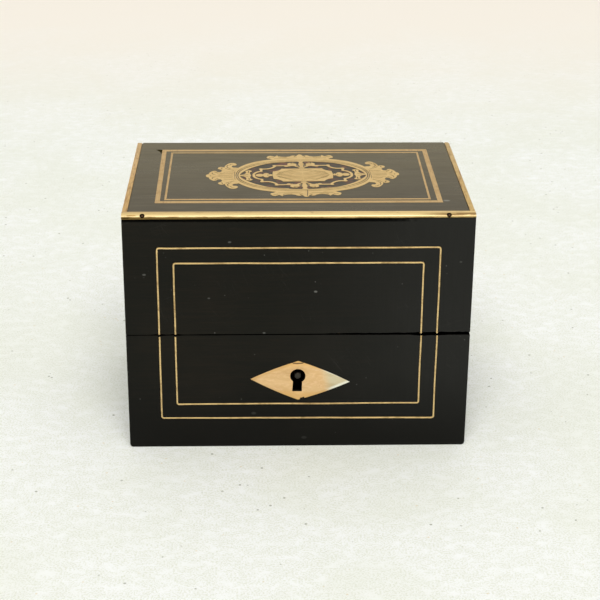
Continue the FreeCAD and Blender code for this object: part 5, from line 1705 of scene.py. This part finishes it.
@dataclass
class Cartouche:
    """The engraved brass cartouche and its dark shell ground."""

    finishes: Finishes
    centre: Vector = field(default_factory=lambda: Vector((2.8 * MM, 1.6 * MM, TOP)))
    turn: float = math.radians(1.5)
    size: float = 56.4 / 57.0
    wide: float = 0.30 * MM
    fine: float = 0.14 * MM
    ground_sink: float = 0.10 * MM

    def build(self) -> None:
        """Engrave the brass pieces and lay in the ground."""
        cutter = self._engraving()
        for name in ("rim", "strap", "medallion", "sprigs"):
            node = f"cartouche_{name}"
            piece = Bench.copy_node(node, node + "_brass", 0.05)
            Bench.carve(piece, cutter, keep=True)
            Bench.fit(Bench.smooth(piece), Body.LID, Slot.ENGRAVED, self.finishes.engraved, [node])
        bpy.data.objects.remove(cutter)
        ground = Bench.copy_node("cartouche_ground", "cartouche_ground_shell", 0.05)
        Bench.shift(ground, lambda co: co.z > TOP - HAIR, Vector((0, 0, -self.ground_sink)))
        Bench.fit(Bench.smooth(ground), Body.LID, Slot.DARK_SHELL, self.finishes.dark_shell, ["cartouche_ground"])

    def _engraving(self) -> Piece:
        """All the graver's strokes as one set of thin bars.

        Returns:
            What the graver takes away.
        """
        strokes = []
        for number, (points, closed, w) in enumerate(self._strokes()):
            path = [self._on_lid(a, b) for a, b in points]
            section = [(-w, self.fine), (-w * 0.6, -self.fine), (w * 0.6, -self.fine), (w, self.fine)]
            bar = Bench.sweep(f"stroke_{number}", path, section, closed)
            bar.data.transform(Matrix.Translation((0, 0, TOP)))
            strokes.append(bar)
        return Bench.join("engraving", strokes)

    def _on_lid(self, across: float, back: float) -> Vector:
        """A point of the pattern, in its own units from its centre, on the lid.

        Args:
            across: to the right of the centre.
            back: behind the centre.

        Returns:
            The point in metres.
        """
        spot = Vector((across * MM * self.size, back * MM * self.size, 0))
        spot.rotate(Matrix.Rotation(self.turn, 3, "Z"))
        return Vector((spot.x + self.centre.x, spot.y + self.centre.y, 0))

    def _strokes(self) -> list[Stroke]:
        """The middle line of every stroke, whether it is a ring, and its half width.

        Returns:
            The strokes, in the pattern's own units.
        """
        strokes: list[Stroke] = [(self._oval(27.75, 19.15), True, self.wide)]
        strokes.append((self._oval(28.5, 20.75), True, self.wide * 0.8))
        for back in (-1, 1):
            strokes += [(self._curve(line, 1, back), False, half * MM) for line, half in GAP_STROKES]
        for across in (-1, 1):
            for back in (-1, 1):
                strokes += [(self._curve(line, across, back), False, self.wide * 0.75) for line in QUARTER_STROKES]
            strokes += [(self._curve(line, across, 1), False, self.fine) for line in SIDE_STROKES]
            strokes += [(self._rib(across, k), False, self.wide * 0.7) for k in range(-4, 5)]
        strokes.append(([(0.9, -19.9), (0.75, -23.5), (0.4, -27.3)], False, 0.24 * MM))
        return strokes

    @staticmethod
    def _oval(a: float, b: float) -> Line:
        """A slightly square oval of given half axes.

        Args:
            a: half its length.
            b: half its depth.

        Returns:
            Its points.
        """
        ring = []
        for i in range(96):
            angle = 2 * math.pi * i / 96
            c, s = math.cos(angle), math.sin(angle)
            radius = (abs(c / a) ** 2.12 + abs(s / b) ** 2.12) ** (-1 / 2.12)
            ring.append((radius * c, radius * s))
        return ring

    @staticmethod
    def _curve(ends: tuple[Pair, ...], across: int, back: int) -> Line:
        """Six steps of the bow through three points, mirrored where a factor is -1.

        Args:
            ends: the three points.
            across: 1 or -1.
            back: 1 or -1.

        Returns:
            The points of the bow.
        """
        (x0, y0), (x1, y1), (x2, y2) = ends
        line = []
        for i in range(7):
            t = i / 6
            a, b, c = (1 - t) * (1 - 2 * t), 4 * t * (1 - t), t * (2 * t - 1)
            line.append(((a * x0 + b * x1 + c * x2) * across, (a * y0 + b * y1 + c * y2) * back))
        return line

    @staticmethod
    def _rib(across: int, k: int) -> Line:
        """One wavy rib of the medallion's fan, from its end towards the middle.

        Args:
            across: 1 for the right half, -1 for the left.
            k: its number, from -4 at the front to 4 at the rear.

        Returns:
            Its points.
        """
        line = []
        for i in range(11):
            t = i / 10
            x = 11.6 - 11.5 * t - abs(k) * 0.35 * (1 - t)
            y = k * (0.75 + 1.15 * math.sin(t * math.pi / 2)) + 0.28 * math.sin(t * 9 + k * 1.7)
            line.append((across * x, max(-7.9, min(7.9, y))))
        return line


@dataclass
class Escutcheon:
    """The shell lozenge round the keyhole, chipped at its lower tip."""

    finishes: Finishes
    node: str = "escutcheon"

    def build(self) -> None:
        """Trim the lozenge, chip its tip and cut the line of an old repair."""
        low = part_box(self.node)[0]
        lozenge = Bench.copy_node(self.node, "shell_lozenge", 0.2)
        start = Vector((0.75 * MM, low.y - 1 * MM, low.z - 1 * MM))
        stop = Vector((2.6 * MM, low.y + 0.5 * MM, low.z + 0.75 * MM))
        chip = Bench.block("tip_chip", start, stop)
        Bench.shift(chip, lambda co: co.x > 2 * MM, Vector((0, 0, 0.55 * MM)))
        Bench.carve(lozenge, chip)
        Bench.carve(lozenge, self._repair(low.y))
        Bench.smooth(Bench.ease(lozenge, 0.09 * MM, 2, 40))
        Bench.fit(lozenge, Body.BASE, Slot.PALE_SHELL, self.finishes.pale_shell, [self.node])

    @staticmethod
    def _repair(y: float) -> Piece:
        """A hair-thin bowed groove under the upper tip.

        Args:
            y: the face of the lozenge.

        Returns:
            What the groove takes away.
        """
        places = (-2.3, -1.3, -0.4, 0.5, 1.4, 2.2)
        path = [Vector((x * MM, (38.25 + 0.012 * x * x) * MM, 0)) for x in places]
        w = 0.10 * MM
        groove = Bench.sweep("repair", path, [(-w, w * 2), (-w, -w * 2), (w, -w * 2), (w, w * 2)])
        Bench.stand_up(groove, y)
        return groove


@dataclass
class Metalwork:
    """Lock, link plate, hinges and their screws."""

    finishes: Finishes

    def build(self) -> None:
        """Dress the metal pieces of both bodies."""
        f = self.finishes
        table: list[tuple[str, Body, Slot, Material]] = [
            ("lock_case", Body.BASE, Slot.LOCK, f.lock_inside),
            ("lock_cap", Body.BASE, Slot.LOCK, f.lock_inside),
            ("lock_key_pin", Body.BASE, Slot.LOCK_STEEL, f.key_pin),
            ("lock_bolt", Body.BOLT, Slot.LOCK, f.lock),
            ("link_plate", Body.LID, Slot.LOCK, f.lock),
        ]
        for body in (Body.BASE, Body.LID):
            table += [(f"hinge_{side}_{body.value}_leaf", body, Slot.HINGE, f.hinge) for side in ("left", "right")]
        table.append(("hinge_pins", Body.BASE, Slot.HINGE, f.steel))
        table += [(f"{body.value}_screws", body, Slot.SCREW, f.screw) for body in (Body.BASE, Body.LID)]
        for node, body, slot, finish in table:
            width = 0.0 if node == "lock_cap" else 0.05 * MM
            Bench.dress(node, "metal", body, slot, finish, width, 1)


@dataclass
class QuiltedPad:
    """The silk pad in the lid, quilted in lozenges with a covered button at each crossing."""

    finishes: Finishes
    node: str = "lid_pad"
    across: int = 5
    along: int = 4
    voxel: float = 2.2 * MM
    seam_half: float = 1.3 * MM
    channel: float = 3.1 * MM
    skin: float = 0.35 * MM
    button: float = 1.9 * MM
    pressure: float = 4.0
    reach: float = 2.4 * MM
    swell: float = 1.9 * MM
    low: Vector = field(init=False)
    high: Vector = field(init=False)
    pitch_x: float = field(init=False)
    pitch_y: float = field(init=False)

    def build(self) -> None:
        """Sew and fill the pad, then sew on its buttons."""
        self.low, self.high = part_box(self.node)
        self.pitch_x = (self.high.x - self.low.x) / self.across
        self.pitch_y = (self.high.y - self.low.y) / self.along
        pad = Bench.copy_node(self.node, "lid_pad_silk")
        pad.data.transform(self._shrink())
        Bench.modify(pad, "REMESH", mode="VOXEL", voxel_size=self.voxel, adaptivity=0.0)
        self._sew(pad)
        self._inflate(pad)
        Bench.modify(pad, "SUBSURF", levels=1, render_levels=1)
        self._cap(pad)
        Bench.smooth(pad, 80)
        Bench.fit(pad, Body.LID, Slot.SILK, self.finishes.silk, [self.node])
        self._buttons()

    def _shrink(self) -> Matrix:
        """What makes the block slightly smaller than the space of the pad.

        Returns:
            The transformation.
        """
        size = self.high - self.low
        middle = (self.low + self.high) / 2
        smaller = Vector(((size.x - 2 * self.skin) / size.x, (size.y - 2 * self.skin) / size.y, 0.62))
        return (
            Matrix.Translation((middle.x, middle.y, self.high.z))
            @ Matrix.Diagonal((*smaller, 1))
            @ Matrix.Translation((-middle.x, -middle.y, -self.high.z))
        )

    def _from_seam(self, co: Vector) -> float:
        """Distance in the plane of the pad to the nearest sewn line.

        Args:
            co: a place.

        Returns:
            The distance.
        """
        steep = math.hypot(1 / self.pitch_x, 1 / self.pitch_y)
        x, y = co.x / self.pitch_x, co.y / self.pitch_y
        return min(abs(v - round(v)) / steep for v in (x + y, x - y))

    def _sew(self, pad: Piece) -> None:
        """Pull the sewn lines towards the back and mark what the stitches hold.

        Args:
            pad: the pad.
        """
        held = pad.vertex_groups.new(name="sewn")
        back = self.high.z - self.skin - 0.4 * MM
        for vertex in pad.data.vertices:
            co = vertex.co
            near = self._from_seam(co)
            if co.z <= back and near >= self.seam_half:
                continue
            held.add([vertex.index], 1.0, "REPLACE")
            if co.z <= back:
                co.z = min(back, max(co.z, self.low.z + self.channel + (near / self.seam_half - 1) * 0.4 * MM))

    def _inflate(self, pad: Piece) -> None:
        """Fill the pad by cloth under pressure between its stitches.

        Args:
            pad: the pad.
        """
        Bench.take(pad)
        rest = [vertex.co.copy() for vertex in pad.data.vertices]
        cloth = pad.modifiers.new("cloth", "CLOTH")
        silk = cloth.settings
        silk.quality, silk.mass, silk.vertex_group_mass = 6, 0.15, "sewn"
        silk.use_pressure, silk.uniform_pressure_force = True, self.pressure
        silk.effector_weights.gravity = 0
        cloth.collision_settings.use_collision = False
        scene = bpy.context.scene
        for number in range(1, 21):
            scene.frame_set(number)
        bpy.ops.object.modifier_apply(modifier="cloth")
        scene.frame_set(1)
        for vertex, start in zip(pad.data.vertices, rest):
            way = vertex.co - start
            if way.length > self.reach:
                vertex.co = start + way.normalized() * self.reach

    def _cap(self, pad: Piece) -> None:
        """Keep the pad within the space it has.

        Args:
            pad: the pad.
        """
        for vertex in pad.data.vertices:
            for i in range(3):
                vertex.co[i] = min(self.high[i] - SPARE, max(self.low[i] + SPARE, vertex.co[i]))

    def _buttons(self) -> None:
        """Small silk-covered buttons on the crossings."""
        buttons = []
        count = range(-self.across - self.along, self.across + self.along + 1)
        for m, n in ((m, n) for m in count for n in count):
            x, y = self.pitch_x * (m + n) / 2, self.pitch_y * (m - n) / 2
            if abs(x) > self.high.x - 4 * MM or abs(y) > self.high.y - 4 * MM:
                continue
            Bench.clear()
            shape = {"segments": 16, "ring_count": 8, "radius": self.button, "scale": (1, 1, 0.62)}
            bpy.ops.mesh.primitive_uv_sphere_add(location=(x, y, self.low.z + self.channel + 0.1 * MM), **shape)
            buttons.append(Bench.settle(f"button_{len(buttons)}"))
        joined = Bench.join("lid_pad_buttons", buttons)
        Bench.fit(Bench.smooth(joined, 80), Body.LID, Slot.SILK, self.finishes.silk)


@dataclass
class Interior:
    """Velvet linings and dividers."""

    finishes: Finishes

    def build(self) -> None:
        """Line the base and the lid."""
        pieces = ("base_lining", "divider_long", "divider_cross_left", "divider_cross_right", "lid_lining")
        for node in pieces:
            body = Body.LID if node == "lid_lining" else Body.BASE
            Bench.dress(node, "velvet", body, Slot.VELVET, self.finishes.velvet, 0.5 * MM, 3, 60)


@dataclass
class Bottles:
    """Six cut-glass bottles with ground stoppers."""

    finishes: Finishes
    count: int = 6

    def build(self) -> None:
        """Dress each bottle and stopper."""
        f = self.finishes
        for number in range(1, self.count + 1):
            Bench.dress(f"bottle_{number}", "glass", Body.BASE, Slot.BOTTLE, f.glass, 0.25 * MM)
            Bench.dress(f"stopper_{number}", "glass", Body.BASE, Slot.STOPPER, f.stopper, 0.15 * MM)


@dataclass
class Studio:
    """Floor, light and camera."""

    finishes: Finishes
    lens_px: float = 1549.2
    image_px: float = 600.0
    camera_place: Vector = field(default_factory=lambda: Vector((-0.0164, -0.62124, 0.31065)))
    yaw: float = math.radians(-1.69)
    pitch: float = math.radians(-23.051)
    roll: float = math.radians(-0.396)

    def build(self) -> None:
        """Set the stage."""
        self._floor()
        self._world()
        self._daylight("daylight", Vector((0.0, 0.58, -0.80)), spread=math.radians(40), strength=2.0)
        self._daylight("backlight", Vector((0.0, -0.45, -0.90)), spread=math.radians(60), strength=0.35)
        front, sky, window = Vector((0.1, -1.15, 1.5)), Vector((-0.2, -0.05, 1.6)), Vector((1.1, -0.9, 0.6))
        self._panel("front_panel", front, aim=Vector((0, 0, 0.08)), size=0.8, power=3.3, mirrored=True)
        self._panel("sky_panel", sky, aim=Vector((0, 0, 0.05)), size=2.4, power=2.0)
        self._panel("window_right", window, aim=Vector((0, -0.05, 0.05)), size=0.8, power=0.9)
        self._camera()

    def _floor(self) -> None:
        """A wide pale floor."""
        Bench.clear()
        bpy.ops.mesh.primitive_plane_add(size=14, location=(0, 0, 0))
        floor = Bench.settle("plaster_floor")
        floor.data.materials.append(self.finishes.floor)

    def _world(self) -> None:
        """Soft even light, white behind the box and warm cream in its gloss."""
        r = Recipe("studio_light", bpy.data.worlds)
        bpy.context.scene.world = r.owner
        shader = self._sky(r, (1.0, 1.0, 0.985), 0.30)
        skies = {"Transmission": (1.0, 0.98, 0.94), "Glossy": (0.90, 0.83, 0.68), "Camera": (0.92, 0.88, 0.78)}
        for ray, colour in skies.items():
            seen = r.node("ShaderNodeLightPath", output=f"Is {ray} Ray")
            shader = r.node("ShaderNodeMixShader", inputs={0: seen, 1: shader, 2: self._sky(r, colour, 1.0)})
        r.end("ShaderNodeOutputWorld", shader)

    @staticmethod
    def _sky(r: Recipe, colour: Colour, strength: float) -> Flow:
        """One even sky."""
        return r.node("ShaderNodeBackground", inputs={"Color": (*colour, 1), "Strength": strength})

    def _daylight(self, name: str, way: Vector, spread: float, strength: float) -> None:
        """Even light from a wide high window; the metal does not mirror it."""
        self._light(name, "SUN", -1.5 * way, way, strength, False, angle=spread)

    def _panel(
        self, name: str, place: Vector, aim: Vector, size: float, power: float, mirrored: bool = False
    ) -> None:
        """A square soft panel that points at the box, and that gloss may mirror or not."""
        self._light(name, "AREA", place, aim - place, power, mirrored, shape="SQUARE", size=size)

    @staticmethod
    def _light(
        name: str, kind: str, place: Vector, way: Vector, energy: float, mirrored: bool, **settings: Any
    ) -> None:
        """Hang one light.

        Args:
            name: the new lamp.
            kind: SUN or AREA.
            place: where it hangs.
            way: where it shines to.
            energy: its strength.
            mirrored: whether gloss shows it.
            settings: further properties of the light.
        """
        light = bpy.data.lights.new(name, kind)
        light.energy = energy
        for key, value in settings.items():
            setattr(light, key, value)
        lamp = Bench.add(name, light)
        lamp.location = place
        lamp.rotation_euler = way.to_track_quat("-Z", "Y").to_euler()
        lamp.visible_glossy = mirrored

    def _camera(self) -> None:
        """The camera that took the photo, as far as its perspective tells."""
        data = bpy.data.cameras.new("view")
        data.sensor_width = 36.0
        data.lens = 36.0 * self.lens_px / self.image_px
        data.clip_start = 0.01
        camera = Bench.add("view", data)
        turn = Matrix.Identity(3)
        for angle, axis in ((self.yaw, "Z"), (self.pitch, "X"), (self.roll, "Y")):
            turn = turn @ Matrix.Rotation(angle, 3, axis)
        right, ahead, up = turn.col
        facing = Matrix((right, up, -ahead)).transposed().to_4x4()
        camera.matrix_world = Matrix.Translation(self.camera_place) @ facing
        bpy.context.scene.camera = camera


def main() -> None:
    """Build the box, sub-assembly by sub-assembly."""
    logging.basicConfig(level=logging.INFO, format="%(message)s")
    bpy.context.scene.view_settings.view_transform = "Standard"
    finishes = Finishes()
    assemblies = (
        Studio, Carcase, FrontStringing, TopFrames, EdgeBands, Cartouche,
        Escutcheon, Metalwork, Interior, QuiltedPad, Bottles,
    )
    for assembly in assemblies:
        LOG.info("building %s", assembly.__name__)
        assembly(finishes).build()
    Bench.clear()


if __name__ == "__main__":
    main()
